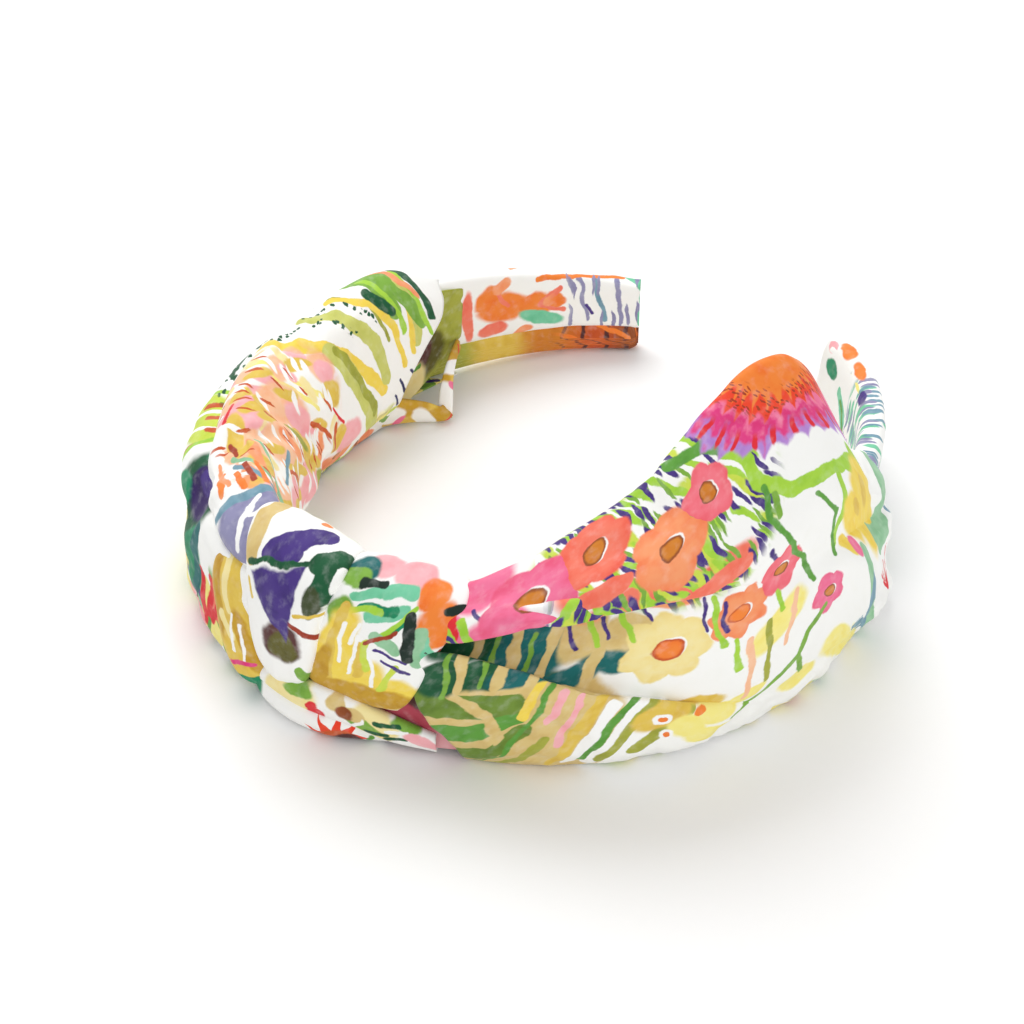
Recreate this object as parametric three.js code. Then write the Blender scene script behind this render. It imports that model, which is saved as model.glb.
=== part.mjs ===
// Knotted headband: a springy plastic band in a gathered, knotted fabric cover.
// Millimetres, +Z up. The headband lies on its long lower edge, the crown knot towards -Y, the tips towards +Y.
// "Course" is the place along the band in degrees: 0 at the knot, negative on the left arm, 90 at the widest
// place and tipCourse at the tips. "Offset" is the distance from the band's middle surface, outwards positive.
import * as THREE from "three";

// ---- driving dimensions ----
const bandHalfWidth = 66; // from the middle plane to the band at its widest place
const crownDepth = 68; // from the widest place forward to the crown
const rearDepth = 89; // depth of the ellipse that the arms' ends follow
const tipCourse = 154;
const flexCourse = 22; // where each arm flexes against the crown
const flexGap = 0.5; // half of the course between core pieces, in degrees
const coreThickness = 1.6;
const clearance = 0.35;
const sleeveWall = 0.9;
const facingThickness = 0.6;
const coverWall = 1.2;
const sleeveStart = 104; // the sleeve and its facing run from inside the cover to the tip
const coverStart = 25.2;
const coverEnd = 113;
const knotHalfCourse = 18.6;
const threadThickness = 0.7;
const ringPoints = 20;

// Heights along the band, as [course, millimetres].
const coreLow = [[0, 6], [90, 5], [coverEnd, 4.2], [tipCourse, 2]];
const coreHigh = [[0, 34], [60, 32], [coverEnd, 27], [tipCourse, 17]];

// Each cover's section along its arm: top height, outer and inner swell, and how far the top leans to the head.
const leftCover = {
  side: -1,
  top: [[coverStart, 36], [45, 37], [75, 36], [100, 37], [coverEnd, 38]],
  outer: [[coverStart, 11], [45, 10.5], [75, 8.5], [100, 8], [coverEnd, 7.5]],
  inner: [[coverStart, 8], [45, 11.5], [75, 14], [100, 15], [coverEnd, 16]],
  lean: [[coverStart, 0], [75, 1], [coverEnd, 1]],
};
const rightCover = {
  side: 1,
  top: [[coverStart, 41], [45, 51], [60, 61], [75, 70], [87, 74], [97, 58], [105, 42], [coverEnd, 33]],
  outer: [[coverStart, 10], [45, 11.5], [75, 11.5], [97, 9], [coverEnd, 6.5]],
  inner: [[coverStart, 6.5], [60, 7.5], [90, 9], [coverEnd, 8]],
  lean: [[coverStart, 0], [60, 4], [87, 7], [105, 3], [coverEnd, 0]],
};
const waddingTop = 37; // the padding ends here even where the cover stands taller

const colours = {
  core: 0xe9e6df,
  wadding: 0xf4f2ec,
  thread: 0xf2efe4,
  left: 0xe8d7a6,
  right: 0xf0b9a2,
  wrap: 0xeeeaf0,
  flap: 0xd8cf6a,
  band: 0xcfd8b0,
  base: 0xf3efe6,
  sleeve: 0xf1e3d6,
  facing: 0xf6f1ea,
};

// ---- the band's path ----
// The crown half and the rear half are two half ellipses that share their width.
function bandFrame(course) {
  const turn = THREE.MathUtils.degToRad(Math.abs(course) - 90);
  const side = course < 0 ? -1 : 1;
  const depth = Math.abs(course) <= 90 ? crownDepth : rearDepth;
  const place = new THREE.Vector2(bandHalfWidth * Math.cos(turn), depth * Math.sin(turn));
  const outward = new THREE.Vector2(Math.cos(turn) / bandHalfWidth, Math.sin(turn) / depth).normalize();
  place.x *= side;
  outward.x *= side;
  return { place, outward };
}

function bandPoint(course, offset, height) {
  const { place, outward } = bandFrame(course);
  return new THREE.Vector3(place.x + outward.x * offset, place.y + outward.y * offset, height);
}

// Reads a height or swell from its table, on a smooth curve through the table's rows.
function along(table, course) {
  const at = THREE.MathUtils.clamp(Math.abs(course), table[0][0], table[table.length - 1][0]);
  const slopeAt = (i) => {
    const [before, low] = table[Math.max(i - 1, 0)];
    const [after, high] = table[Math.min(i + 1, table.length - 1)];
    return (high - low) / (after - before);
  };
  const i = Math.max(1, table.findIndex(([place]) => at <= place));
  const [before, low] = table[i - 1];
  const [after, high] = table[i];
  const width = after - before;
  const t = (at - before) / width;
  const start = slopeAt(i - 1) * width;
  const end = slopeAt(i) * width;
  return low + t * start + t * t * (3 * (high - low) - 2 * start - end) + t ** 3 * (2 * (low - high) + start + end);
}

function coursesBetween(from, to, steps) {
  return Array.from({ length: steps + 1 }, (unused, i) => from + ((to - from) * i) / steps);
}

// ---- solids ----
// Makes one closed body from rings of points: side walls between neighbouring rings, and a fan over each open end.
function closedGeometry(triangles, points) {
  const positions = points.flatMap((point) => [point.x, point.y, point.z]);
  let volume = 0;
  for (const [a, b, c] of triangles) {
    volume += points[a].dot(new THREE.Vector3().crossVectors(points[b], points[c]));
  }
  const index = volume > 0 ? triangles.flat() : triangles.flatMap(([a, b, c]) => [a, c, b]);
  const geometry = new THREE.BufferGeometry();
  geometry.setAttribute("position", new THREE.Float32BufferAttribute(positions, 3));
  geometry.setIndex(index);
  geometry.computeVertexNormals();
  return geometry;
}

function wallBetween(first, second, count) {
  const triangles = [];
  for (let i = 0; i < count; i++) {
    const next = (i + 1) % count;
    triangles.push([first + i, first + next, second + i], [first + next, second + next, second + i]);
  }
  return triangles;
}

function capOn(first, count, centre, reversed) {
  const triangles = [];
  for (let i = 0; i < count; i++) {
    const next = (i + 1) % count;
    triangles.push(reversed ? [centre, first + next, first + i] : [centre, first + i, first + next]);
  }
  return triangles;
}

function middleOf(ring) {
  return ring.reduce((sum, point) => sum.add(point), new THREE.Vector3()).divideScalar(ring.length);
}

function loftSolid(rings) {
  const count = rings[0].length;
  const points = rings.flat();
  const triangles = [];
  for (let i = 1; i < rings.length; i++) triangles.push(...wallBetween((i - 1) * count, i * count, count));
  points.push(middleOf(rings[0]), middleOf(rings[rings.length - 1]));
  triangles.push(...capOn(0, count, points.length - 2, true));
  triangles.push(...capOn((rings.length - 1) * count, count, points.length - 1, false));
  return closedGeometry(triangles, points);
}

// A sleeve with a wall: outer and inner rings, open at the first end, and open or closed at the last.
function loftShell(outerRings, innerRings, closedAtLast) {
  const count = outerRings[0].length;
  const points = [...outerRings.flat(), ...innerRings.flat()];
  const innerFirst = outerRings.length * count;
  const outerLast = (outerRings.length - 1) * count;
  const innerLast = innerFirst + (innerRings.length - 1) * count;
  const triangles = [...wallBetween(innerFirst, 0, count)];
  for (let i = 1; i < outerRings.length; i++) triangles.push(...wallBetween((i - 1) * count, i * count, count));
  for (let i = innerRings.length - 1; i > 0; i--) {
    triangles.push(...wallBetween(innerFirst + i * count, innerFirst + (i - 1) * count, count));
  }
  if (closedAtLast) {
    points.push(middleOf(outerRings[outerRings.length - 1]), middleOf(innerRings[innerRings.length - 1]));
    triangles.push(...capOn(outerLast, count, points.length - 2, false));
    triangles.push(...capOn(innerLast, count, points.length - 1, true));
  } else {
    triangles.push(...wallBetween(outerLast, innerLast, count));
  }
  return closedGeometry(triangles, points);
}

// A bent sheet: each section is an outer arc and the inner arc behind it.
function loftFlap(outerArcs, innerArcs) {
  const rings = outerArcs.map((arc, i) => [...arc, ...innerArcs[i].toReversed()]);
  const count = rings[0].length;
  const last = (rings.length - 1) * count;
  const triangles = [];
  for (let i = 1; i < rings.length; i++) triangles.push(...wallBetween((i - 1) * count, i * count, count));
  for (let i = 0; i < count / 2 - 1; i++) {
    const opposite = count - 1 - i;
    triangles.push([i, opposite, i + 1], [i + 1, opposite, opposite - 1]);
    triangles.push([last + i, last + i + 1, last + opposite]);
    triangles.push([last + i + 1, last + opposite - 1, last + opposite]);
  }
  return closedGeometry(triangles, rings.flat());
}

// ---- sections ----
// A flat strip's section, with its corners taken off.
function stripRing(course, inner, outer, low, high, corner) {
  const outline = [
    [inner, low + corner], [inner + corner, low], [outer - corner, low], [outer, low + corner],
    [outer, high - corner], [outer - corner, high], [inner + corner, high], [inner, high - corner],
  ];
  return outline.map(([offset, height]) => bandPoint(course, offset, height));
}

// A swollen section: a full oval that stands on a flat foot and may lean at the top.
function swollenRing(course, section) {
  const { inner, outer, low, high, lean = 0, fullness = 0.82 } = section;
  const footDepth = 1.4;
  const footFullness = 0.6;
  const middle = (outer - inner) / 2;
  const halfWidth = (outer + inner) / 2;
  const halfHeight = (high - low + footDepth) / 2;
  const centreHeight = high - halfHeight;
  const ring = [];
  for (let i = 0; i < ringPoints; i++) {
    const angle = (2 * Math.PI * (i + 0.5)) / ringPoints;
    const power = angle < Math.PI ? fullness : footFullness;
    const across = Math.sign(Math.cos(angle)) * Math.abs(Math.cos(angle)) ** power;
    const up = Math.sign(Math.sin(angle)) * Math.abs(Math.sin(angle)) ** power;
    const height = Math.max(low, centreHeight + halfHeight * up);
    const leaning = lean * THREE.MathUtils.smoothstep(height, (low + high) / 2, high);
    ring.push(bandPoint(course, middle + halfWidth * across - leaning, height));
  }
  return ring;
}

function shrink(section, wall) {
  return {
    ...section,
    inner: section.inner - wall,
    outer: section.outer - wall,
    low: section.low + wall,
    high: section.high - wall,
  };
}

function add(parent, name, geometry, colour, roughness = 0.75) {
  const material = new THREE.MeshStandardMaterial({ color: colour, roughness, metalness: 0 });
  const mesh = new THREE.Mesh(geometry, material);
  mesh.name = name;
  parent.add(mesh);
}

// ---- plastic core ----
function coreSolid(from, to, steps) {
  const half = coreThickness / 2;
  const rings = coursesBetween(from, to, steps).map((course) =>
    stripRing(course, -half, half, along(coreLow, course), along(coreHigh, course), coreThickness / 4));
  return loftSolid(rings);
}

// ---- narrow ends: a sleeve round the core and a facing strip on its head side ----
function sleeveSolid(side) {
  const courses = coursesBetween(sleeveStart, tipCourse, 14);
  const reach = coreThickness / 2 + clearance;
  const section = (course, grow, tipGrow) => {
    const at = side * (course + (course === tipCourse ? tipGrow : 0));
    return stripRing(at, -reach - grow, reach + grow, along(coreLow, course) - clearance - grow,
      along(coreHigh, course) + clearance + grow, (reach + grow) / 2);
  };
  const tipGap = 0.35; // degrees of course past the core's end
  const tipWall = 0.75;
  const outer = courses.map((course) => section(course, sleeveWall, tipGap + tipWall));
  const inner = courses.map((course) => section(course, 0, tipGap));
  return loftShell(outer, inner, true);
}

function facingSolid(side) {
  const back = -(coreThickness / 2 + clearance + sleeveWall + clearance);
  const rings = coursesBetween(sleeveStart, tipCourse - 1, 14).map((course) => {
    const low = along(coreLow, course);
    const high = along(coreHigh, course);
    const seam = low + (high - low) * 0.36;
    return stripRing(side * course, back - facingThickness, back, seam, high + 0.4, facingThickness / 4);
  });
  return loftSolid(rings);
}

// ---- gathered covers and their padding ----
function coverSection(cover, course) {
  return {
    inner: along(cover.inner, course),
    outer: along(cover.outer, course),
    low: 0,
    high: along(cover.top, course),
    lean: along(cover.lean, course),
  };
}

function coverSolid(cover) {
  const courses = coursesBetween(coverStart, coverEnd, 24);
  const outer = courses.map((course) => swollenRing(cover.side * course, coverSection(cover, course)));
  const inner = courses.map((course) =>
    swollenRing(cover.side * course, shrink(coverSection(cover, course), coverWall)));
  return loftShell(outer, inner, false);
}

function waddingSolid(cover) {
  const back = coreThickness / 2 + clearance;
  const marginToCover = 3.2;
  const marginAtEnds = 5;
  const edgeHeight = 7;
  const courses = coursesBetween(coverStart + marginAtEnds, sleeveStart - 2, 18);
  const rings = courses.map((course) => {
    const section = coverSection(cover, course);
    const high = Math.min(section.high, waddingTop) - edgeHeight;
    const front = section.outer - marginToCover;
    return swollenRing(cover.side * course, { inner: -back, outer: front, low: edgeHeight, high, fullness: 0.9 });
  });
  return loftSolid(rings);
}

// A ring of thread that holds the cover's gathers on the sleeve.
function gatherThreadSolid(side) {
  const course = sleeveStart + 4;
  const reach = coreThickness / 2 + clearance + sleeveWall + clearance + facingThickness + clearance;
  const low = along(coreLow, course) - clearance - sleeveWall - clearance;
  const high = along(coreHigh, course) + clearance + sleeveWall + clearance;
  const at = [course, course + 0.5].map((place) => side * place);
  const section = (place, grow) =>
    stripRing(place, -reach - grow, reach + grow, low - grow, high + grow, reach / 2);
  const outer = at.map((place) => section(place, threadThickness / 2));
  const inner = at.map((place) => section(place, 0));
  return loftShell(outer, inner, false);
}

// ---- the knot ----
const knotCore = { inner: 4.6, outer: 6.4, low: 3, high: 36.6 };

// Folded fabric that goes round the core under the knot.
function knotBaseSolid() {
  const courses = coursesBetween(-knotHalfCourse, knotHalfCourse, 10);
  const outer = courses.map((course) => swollenRing(course, knotCore));
  const inner = courses.map((course) => swollenRing(course, shrink(knotCore, 1)));
  return loftShell(outer, inner, false);
}

function crownWaddingSolid() {
  const rings = coursesBetween(-knotHalfCourse + 4, knotHalfCourse - 4, 6).map((course) =>
    swollenRing(course, { inner: -coreThickness / 2 - clearance, outer: 4.6, low: 9, high: 31, fullness: 0.9 }));
  return loftSolid(rings);
}

// A piece of cover fabric that climbs the head side of the base, passes over it and comes down the front.
// Angles are round the base's section: 0 at the front, a quarter turn at the top.
function overBaseSolid(from, to, frontAngle, backAngle, thickness, swelling) {
  const courses = coursesBetween(from, to, 8);
  const arcSteps = 16;
  const gap = 0.4;
  const arc = (course, grow) => {
    const reach = {
      middle: (knotCore.outer - knotCore.inner) / 2,
      across: (knotCore.outer + knotCore.inner) / 2 + gap + grow,
      centre: (knotCore.low + knotCore.high) / 2,
      up: (knotCore.high - knotCore.low) / 2 + gap + 0.4 + grow * 0.75,
    };
    return Array.from({ length: arcSteps + 1 }, (unused, i) => {
      const angle = THREE.MathUtils.degToRad(frontAngle + ((backAngle - frontAngle) * i) / arcSteps);
      const across = Math.sign(Math.cos(angle)) * Math.abs(Math.cos(angle)) ** 0.74;
      const up = Math.sign(Math.sin(angle)) * Math.abs(Math.sin(angle)) ** 0.82;
      return bandPoint(course, reach.middle + reach.across * across, reach.centre + reach.up * up);
    });
  };
  const fullness = (course) => Math.sin((Math.PI * (course - from)) / (to - from)) * swelling;
  const outer = courses.map((course) => arc(course, thickness + fullness(course)));
  const inner = courses.map((course) => arc(course, 0));
  return loftFlap(outer, inner);
}

// The band of fabric that crosses the front of the knot low down, fullest on the left and tucked in on the right.
function lowerBandSolid() {
  const start = -17;
  const end = 17;
  const rings = coursesBetween(start, end, 12).map((course) => {
    const t = (course - start) / (end - start);
    const swell = Math.sin(Math.PI * Math.min(1, 0.25 + t * 0.75));
    const outer = 8.6 + 3.2 * swell;
    const low = 1 + 4 * t * t;
    return swollenRing(course, { inner: -7.3, outer, low, high: low + 8 + 3 * swell, fullness: 0.9 });
  });
  return loftSolid(rings);
}

function knotThreadSolid() {
  const at = [-knotHalfCourse + 1.6, -knotHalfCourse + 2.2];
  const section = (grow) => ({
    inner: knotCore.inner + 0.35 + grow,
    outer: knotCore.outer + 0.35 + grow,
    low: knotCore.low - 0.35 - grow,
    high: knotCore.high + 0.35 + grow,
  });
  const outer = at.map((course) => swollenRing(course, section(threadThickness)));
  const inner = at.map((course) => swollenRing(course, section(0)));
  return loftShell(outer, inner, false);
}

// ---- the headband ----
const headband = new THREE.Group();

const crown = new THREE.Group();
headband.add(crown);
add(crown, "core_crown", coreSolid(-flexCourse + flexGap, flexCourse - flexGap, 12), colours.core, 0.5);
add(crown, "crown_wadding", crownWaddingSolid(), colours.wadding, 0.95);
add(crown, "knot_base", knotBaseSolid(), colours.base);
add(crown, "knot_tack_thread", knotThreadSolid(), colours.thread, 0.8);
add(crown, "knot_wrap", overBaseSolid(-15.6, -1.2, -14, 200, 1.8, 1.6), colours.wrap);
add(crown, "knot_flap", overBaseSolid(-0.8, 15.6, -12, 200, 1.6, 1.4), colours.flap);
add(crown, "knot_lower_band", lowerBandSolid(), colours.band);

for (const [name, cover, colour] of [["left", leftCover, colours.left], ["right", rightCover, colours.right]]) {
  const arm = new THREE.Group();
  headband.add(arm);
  const side = cover.side;
  const armCore = coreSolid(side * (flexCourse + flexGap), side * tipCourse, 26);
  add(arm, `core_${name}_arm`, armCore, colours.core, 0.5);
  add(arm, `${name}_wadding`, waddingSolid(cover), colours.wadding, 0.95);
  add(arm, `${name}_cover`, coverSolid(cover), colour);
  add(arm, `${name}_tip_sleeve`, sleeveSolid(side), colours.sleeve);
  add(arm, `${name}_facing`, facingSolid(side), colours.facing);
  add(arm, `${name}_gather_thread`, gatherThreadSolid(side), colours.thread, 0.8);
}

// The origin is the middle of the box on the plane that the headband lies on.
const size = new THREE.Box3().setFromObject(headband, true);
const centre = size.getCenter(new THREE.Vector3());
headband.position.set(-centre.x, -centre.y, -size.min.z);

export default headband;
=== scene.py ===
import math

import bpy
import numpy as np
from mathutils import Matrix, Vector, noise


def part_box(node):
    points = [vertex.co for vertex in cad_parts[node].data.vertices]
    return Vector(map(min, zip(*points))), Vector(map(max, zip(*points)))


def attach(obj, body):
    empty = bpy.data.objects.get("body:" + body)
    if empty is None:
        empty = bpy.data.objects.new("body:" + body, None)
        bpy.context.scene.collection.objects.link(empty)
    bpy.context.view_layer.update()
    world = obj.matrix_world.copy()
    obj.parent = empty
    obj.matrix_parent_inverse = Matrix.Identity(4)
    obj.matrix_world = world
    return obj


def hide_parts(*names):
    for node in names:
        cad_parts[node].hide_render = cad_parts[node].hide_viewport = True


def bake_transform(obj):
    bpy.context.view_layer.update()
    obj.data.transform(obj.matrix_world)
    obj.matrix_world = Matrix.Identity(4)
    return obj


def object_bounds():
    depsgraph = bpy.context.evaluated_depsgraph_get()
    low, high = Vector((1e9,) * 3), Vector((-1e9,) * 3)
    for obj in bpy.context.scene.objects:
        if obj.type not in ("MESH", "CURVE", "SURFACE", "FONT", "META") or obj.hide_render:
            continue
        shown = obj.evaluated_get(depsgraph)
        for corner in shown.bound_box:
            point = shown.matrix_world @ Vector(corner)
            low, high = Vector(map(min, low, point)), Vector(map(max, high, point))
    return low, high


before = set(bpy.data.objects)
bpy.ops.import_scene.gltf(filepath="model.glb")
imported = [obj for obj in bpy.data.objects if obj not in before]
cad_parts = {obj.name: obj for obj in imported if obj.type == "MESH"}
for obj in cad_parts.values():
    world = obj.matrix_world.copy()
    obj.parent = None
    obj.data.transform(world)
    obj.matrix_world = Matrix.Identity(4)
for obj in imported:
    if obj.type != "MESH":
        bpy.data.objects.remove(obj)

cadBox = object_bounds()
mm = 0.001
scene = bpy.context.scene
# how far cloth stays above the table, in millimetres
coverLift, ribbonLift = 0.2, 0.3

# the band's path, in millimetres; course is degrees along the band, 0 at the knot
band = {
    "halfWidth": 66,
    "crownDepth": 68,
    "rearDepth": 89,
    "tipCourse": 154,
    "thickness": 1.6,
    "low": [(0, 6), (90, 5), (113, 4.2), (154, 2)],
    "high": [(0, 34), (60, 32), (113, 27), (154, 17)],
}

coreLow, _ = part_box("core_crown")
armLow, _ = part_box("core_left_arm")
_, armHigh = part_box("core_right_arm")
middleX = (armLow[0] + armHigh[0]) / 2 / mm
middleY = coreLow[1] / mm + band["crownDepth"] + band["thickness"] / 2


def along(table, course):
    # a smooth curve through the table's rows
    at = min(max(abs(course), table[0][0]), table[-1][0])
    i = 1
    while table[i][0] < at:
        i += 1

    def slope(k):
        before, after = table[max(k - 1, 0)], table[min(k + 1, len(table) - 1)]
        return (after[1] - before[1]) / (after[0] - before[0])

    (x0, y0), (x1, y1) = table[i - 1], table[i]
    width = x1 - x0
    t = (at - x0) / width
    start, end = slope(i - 1) * width, slope(i) * width
    bend = 3 * (y1 - y0) - 2 * start - end
    return y0 + t * start + t * t * bend + t ** 3 * (2 * (y0 - y1) + start + end)


def bandPoint(course, offset, height):
    turn = math.radians(abs(course) - 90)
    side = -1 if course < 0 else 1
    depth = band["crownDepth"] if abs(course) <= 90 else band["rearDepth"]
    outX, outY = math.cos(turn) / band["halfWidth"], math.sin(turn) / depth
    size = math.hypot(outX, outY)
    x = side * (band["halfWidth"] * math.cos(turn) + outX / size * offset)
    y = depth * math.sin(turn) + outY / size * offset
    return np.array([(x + middleX) * mm, (y + middleY) * mm, height * mm])


def arcLength(course):
    # millimetres along the band's middle from the knot, with its sign
    steps = np.linspace(0, course, 60)
    points = np.array([bandPoint(c, 0, 0) for c in steps])
    return math.copysign(np.linalg.norm(np.diff(points, axis=0), axis=1).sum() / mm, course)


def smoothStep(x, low, high):
    t = min(max((x - low) / (high - low), 0), 1)
    return t * t * (3 - 2 * t)


def curveThrough(points, samples):
    # a rounded curve through the points, with the same number of samples in every span
    points = np.array(points, float)
    ends = np.vstack([2 * points[0] - points[1], points, 2 * points[-1] - points[-2]])
    out = []
    for i in range(1, len(ends) - 2):
        p0, p1, p2, p3 = ends[i - 1:i + 3]
        gaps = [max(np.linalg.norm(b - a), 1e-6) ** 0.5 for a, b in ((p0, p1), (p1, p2), (p2, p3))]
        m1 = (p2 - p1) + gaps[1] * ((p1 - p0) / gaps[0] - (p2 - p0) / (gaps[0] + gaps[1]))
        m2 = (p2 - p1) + gaps[1] * ((p3 - p2) / gaps[2] - (p3 - p1) / (gaps[1] + gaps[2]))
        for t in np.linspace(0, 1, samples, endpoint=False):
            h = t * t * (3 - 2 * t)
            out.append(p1 + (p2 - p1) * h + m1 * (t ** 3 - 2 * t * t + t) + m2 * (t ** 3 - t * t))
    out.append(points[-1])
    return np.array(out)


def newObject(name, vertices, faces, uv=None):
    mesh = bpy.data.meshes.new(name)
    mesh.from_pydata([tuple(v) for v in vertices], [], faces)
    if uv is not None:
        layer = mesh.uv_layers.new(name="print")
        corners = np.zeros(len(mesh.loops), np.int64)
        mesh.loops.foreach_get("vertex_index", corners)
        layer.data.foreach_set("uv", np.asarray(uv, np.float32)[corners].ravel())
    mesh.shade_smooth()
    mesh.update()
    piece = bpy.data.objects.new(name, mesh)
    scene.collection.objects.link(piece)
    return piece


def gridFaces(rows, columns, closed=False):
    faces = []
    last = columns if closed else columns - 1
    for i in range(rows - 1):
        for j in range(last):
            k = (j + 1) % columns
            faces.append((i * columns + j, (i + 1) * columns + j, (i + 1) * columns + k, i * columns + k))
    return faces


def gridObject(name, points, uv, flip=False):
    rows, columns = points.shape[:2]
    faces = gridFaces(rows, columns)
    if flip:
        faces = [face[::-1] for face in faces]
    return newObject(name, points.reshape(-1, 3), faces, uv.reshape(-1, 2))


def gridNormals(points):
    alongRows = np.gradient(points, axis=0)
    across = np.gradient(points, axis=1)
    normal = np.cross(alongRows, across)
    return normal / np.maximum(np.linalg.norm(normal, axis=2, keepdims=True), 1e-12)


def ripple(x, y, seed):
    # soft noise between -1 and 1, the same on every run
    return noise.noise(Vector((x, y, seed * 7.31)))


def addModifier(piece, kind, **settings):
    modifier = piece.modifiers.new(kind.title(), kind)
    for key, value in settings.items():
        setattr(modifier, key, value)
    return modifier


def clothLayer(piece, thickness=0.45):
    # cloth thickness goes inwards, so the outside stays where it was made
    addModifier(piece, "SUBSURF", levels=1, render_levels=1)
    addModifier(piece, "SOLIDIFY", thickness=thickness * mm, offset=-1, use_rim=True)


# gathered covers: each table gives a measure at a few places along the band
rightCover = {
    "side": 1,
    "top": [(6, 36), (22, 39), (30, 42), (45, 50), (60, 60), (75, 69.5), (86, 73.6), (91, 70), (95, 61),
            (98.5, 49), (103, 41), (108, 36), (113, 30.5)],
    "ridge": [(6, -3), (25, -1.5), (45, -5.5), (60, -7.5), (77, -9.5), (88, -6), (95, -3), (100, 1),
              (107, 1.5), (113, 0)],
    "inner": [(8, 5), (25, 6), (60, 7.5), (90, 9), (106, 7.6), (113, 3.4)],
    "outer": [(8, 6), (16, 8), (25, 9.6), (45, 11.4), (75, 11.8), (97, 11), (108, 9.2), (113, 3.6)],
    "upperLip": [(8, 30), (22, 31), (31, 36), (40, 39), (53, 42.5), (70, 40), (90, 36), (113, 22)],
    "upperOffset": [(8, 3.5), (18, 5.5), (24, 8), (34, 10), (50, 11.6), (70, 10.5), (97, 8.6), (107, 7),
                    (113, 3.2)],
    "upperFold": [(8, 0.9), (45, 1), (58, 0.6), (72, 0.05), (113, 0)],
    "middleOffset": [(8, 2.5), (22, 3.2), (34, 6), (50, 9.8), (62, 11.2), (75, 11.8), (97, 10.6),
                     (108, 8.8), (113, 3.5)],
    "lowerLip": [(8, 27), (22, 29.5), (31, 29), (40, 26), (52, 20.5), (62, 14), (72, 9), (90, 9), (113, 8)],
    "lowerOffset": [(8, 5), (16, 8), (24, 9.4), (34, 10.6), (50, 11.8), (75, 11), (97, 10.4), (108, 8.8),
                    (113, 3.5)],
    "lowerFold": [(8, 0.8), (50, 0.9), (64, 0.4), (74, 0), (113, 0)],
    "ridgeSpan": 3,
    "gathers": {"near": 16, "far": 66, "strength": 1.4, "mouth": 1.1, "seed": 3},
    "free": (28, 104),
}

leftCover = {
    "side": -1,
    "top": [(6, 35), (22, 36), (45, 36.5), (75, 35.5), (98, 37.5), (106, 37), (113, 32), (120, 25.5)],
    "ridge": [(6, -2), (25, -4), (50, -5), (80, -5), (106, -4), (113, -2), (120, 0)],
    "inner": [(6, 5), (20, 7), (32, 11), (50, 14.5), (76, 16.5), (100, 15), (112, 11), (120, 5)],
    "outer": [(6, 9), (16, 11.5), (24, 11), (45, 10.4), (75, 8.4), (108, 7.5), (120, 3.4)],
    "lipHeight": [(6, 29), (25, 29.5), (50, 30), (80, 31), (100, 33), (110, 32), (120, 23)],
    "lipOffset": [(6, 6), (18, 7), (29, 5.4), (40, 2.6), (52, 1.2), (80, 1.6), (106, 2.4), (120, 2.6)],
    "lipFold": [(6, 0.8), (20, 1.3), (50, 1.5), (85, 1.2), (100, 0.5), (120, 0.1)],
    "ridgeSpan": 4,
    "gathers": {"near": 14, "far": 55, "strength": 1.5, "mouth": 0.3, "seed": 11},
    "free": (26, 98),
}


def rightProfile(course):
    # the cover's outline at one place, from the head-side foot over the top to the outer foot
    c = rightCover
    top, ridge, inner, outer = (along(c[k], course) for k in ("top", "ridge", "inner", "outer"))
    z1, o1, f1 = (along(c[k], course) for k in ("upperLip", "upperOffset", "upperFold"))
    z2, o2, f2 = (along(c[k], course) for k in ("lowerLip", "lowerOffset", "lowerFold"))
    middle = along(c["middleOffset"], course)
    return [
        (-inner * 0.55, 0.9), (-inner, top * 0.3), (-inner + ridge * 0.35, top * 0.72), (ridge, top),
        (ridge * 0.35 + o1 * 0.5, top - (top - z1) * 0.3), (o1 - 0.2, z1 + (top - z1) * 0.32),
        (o1 + 0.5 * f1, z1), (o1 - 2.2 * f1, z1 + 3.2 * f1 - 1.6 * (1 - min(f1, 1))),
        (middle - 0.8 * f1, z1 - (z1 - z2) * 0.2), (middle, (z1 + z2) / 2),
        (middle - 0.8 * f2, z2 + (z1 - z2) * 0.12), (o2 - 2.4 * f2, z2 - 3 * f2 + 1.6 * (1 - min(f2, 1))),
        (o2 + 0.2 * f2, z2), (outer + 0.8, z2 * 0.6), (outer, z2 * 0.25 + 0.4), (outer * 0.62, 0.25),
        (-inner * 0.25, 0.25),
    ]


def leftProfile(course):
    c = leftCover
    top, ridge, inner, outer = (along(c[k], course) for k in ("top", "ridge", "inner", "outer"))
    z1, o1, f1 = (along(c[k], course) for k in ("lipHeight", "lipOffset", "lipFold"))
    return [
        (-inner * 0.6, 0.7), (-inner, top * 0.3), (-inner * 0.96, top * 0.52), (-inner * 0.72, top * 0.85),
        (ridge, top), (o1 * 0.5 - 1.4, top - (top - z1) * 0.14), (o1 + 0.3 * f1, z1 + (top - z1) * 0.45),
        (o1 + 0.8 * f1, z1 - 0.8 * f1), (o1 - 2.4 * f1, z1 - 0.6 * f1),
        (o1 + (outer - o1) * 0.34, z1 - 2 + 0.6 * f1),
        (outer - 0.9, z1 * 0.8), (outer, z1 * 0.45), (outer * 0.93, z1 * 0.12), (outer * 0.55, 0.25),
        (-inner * 0.25, 0.25),
    ]


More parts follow.
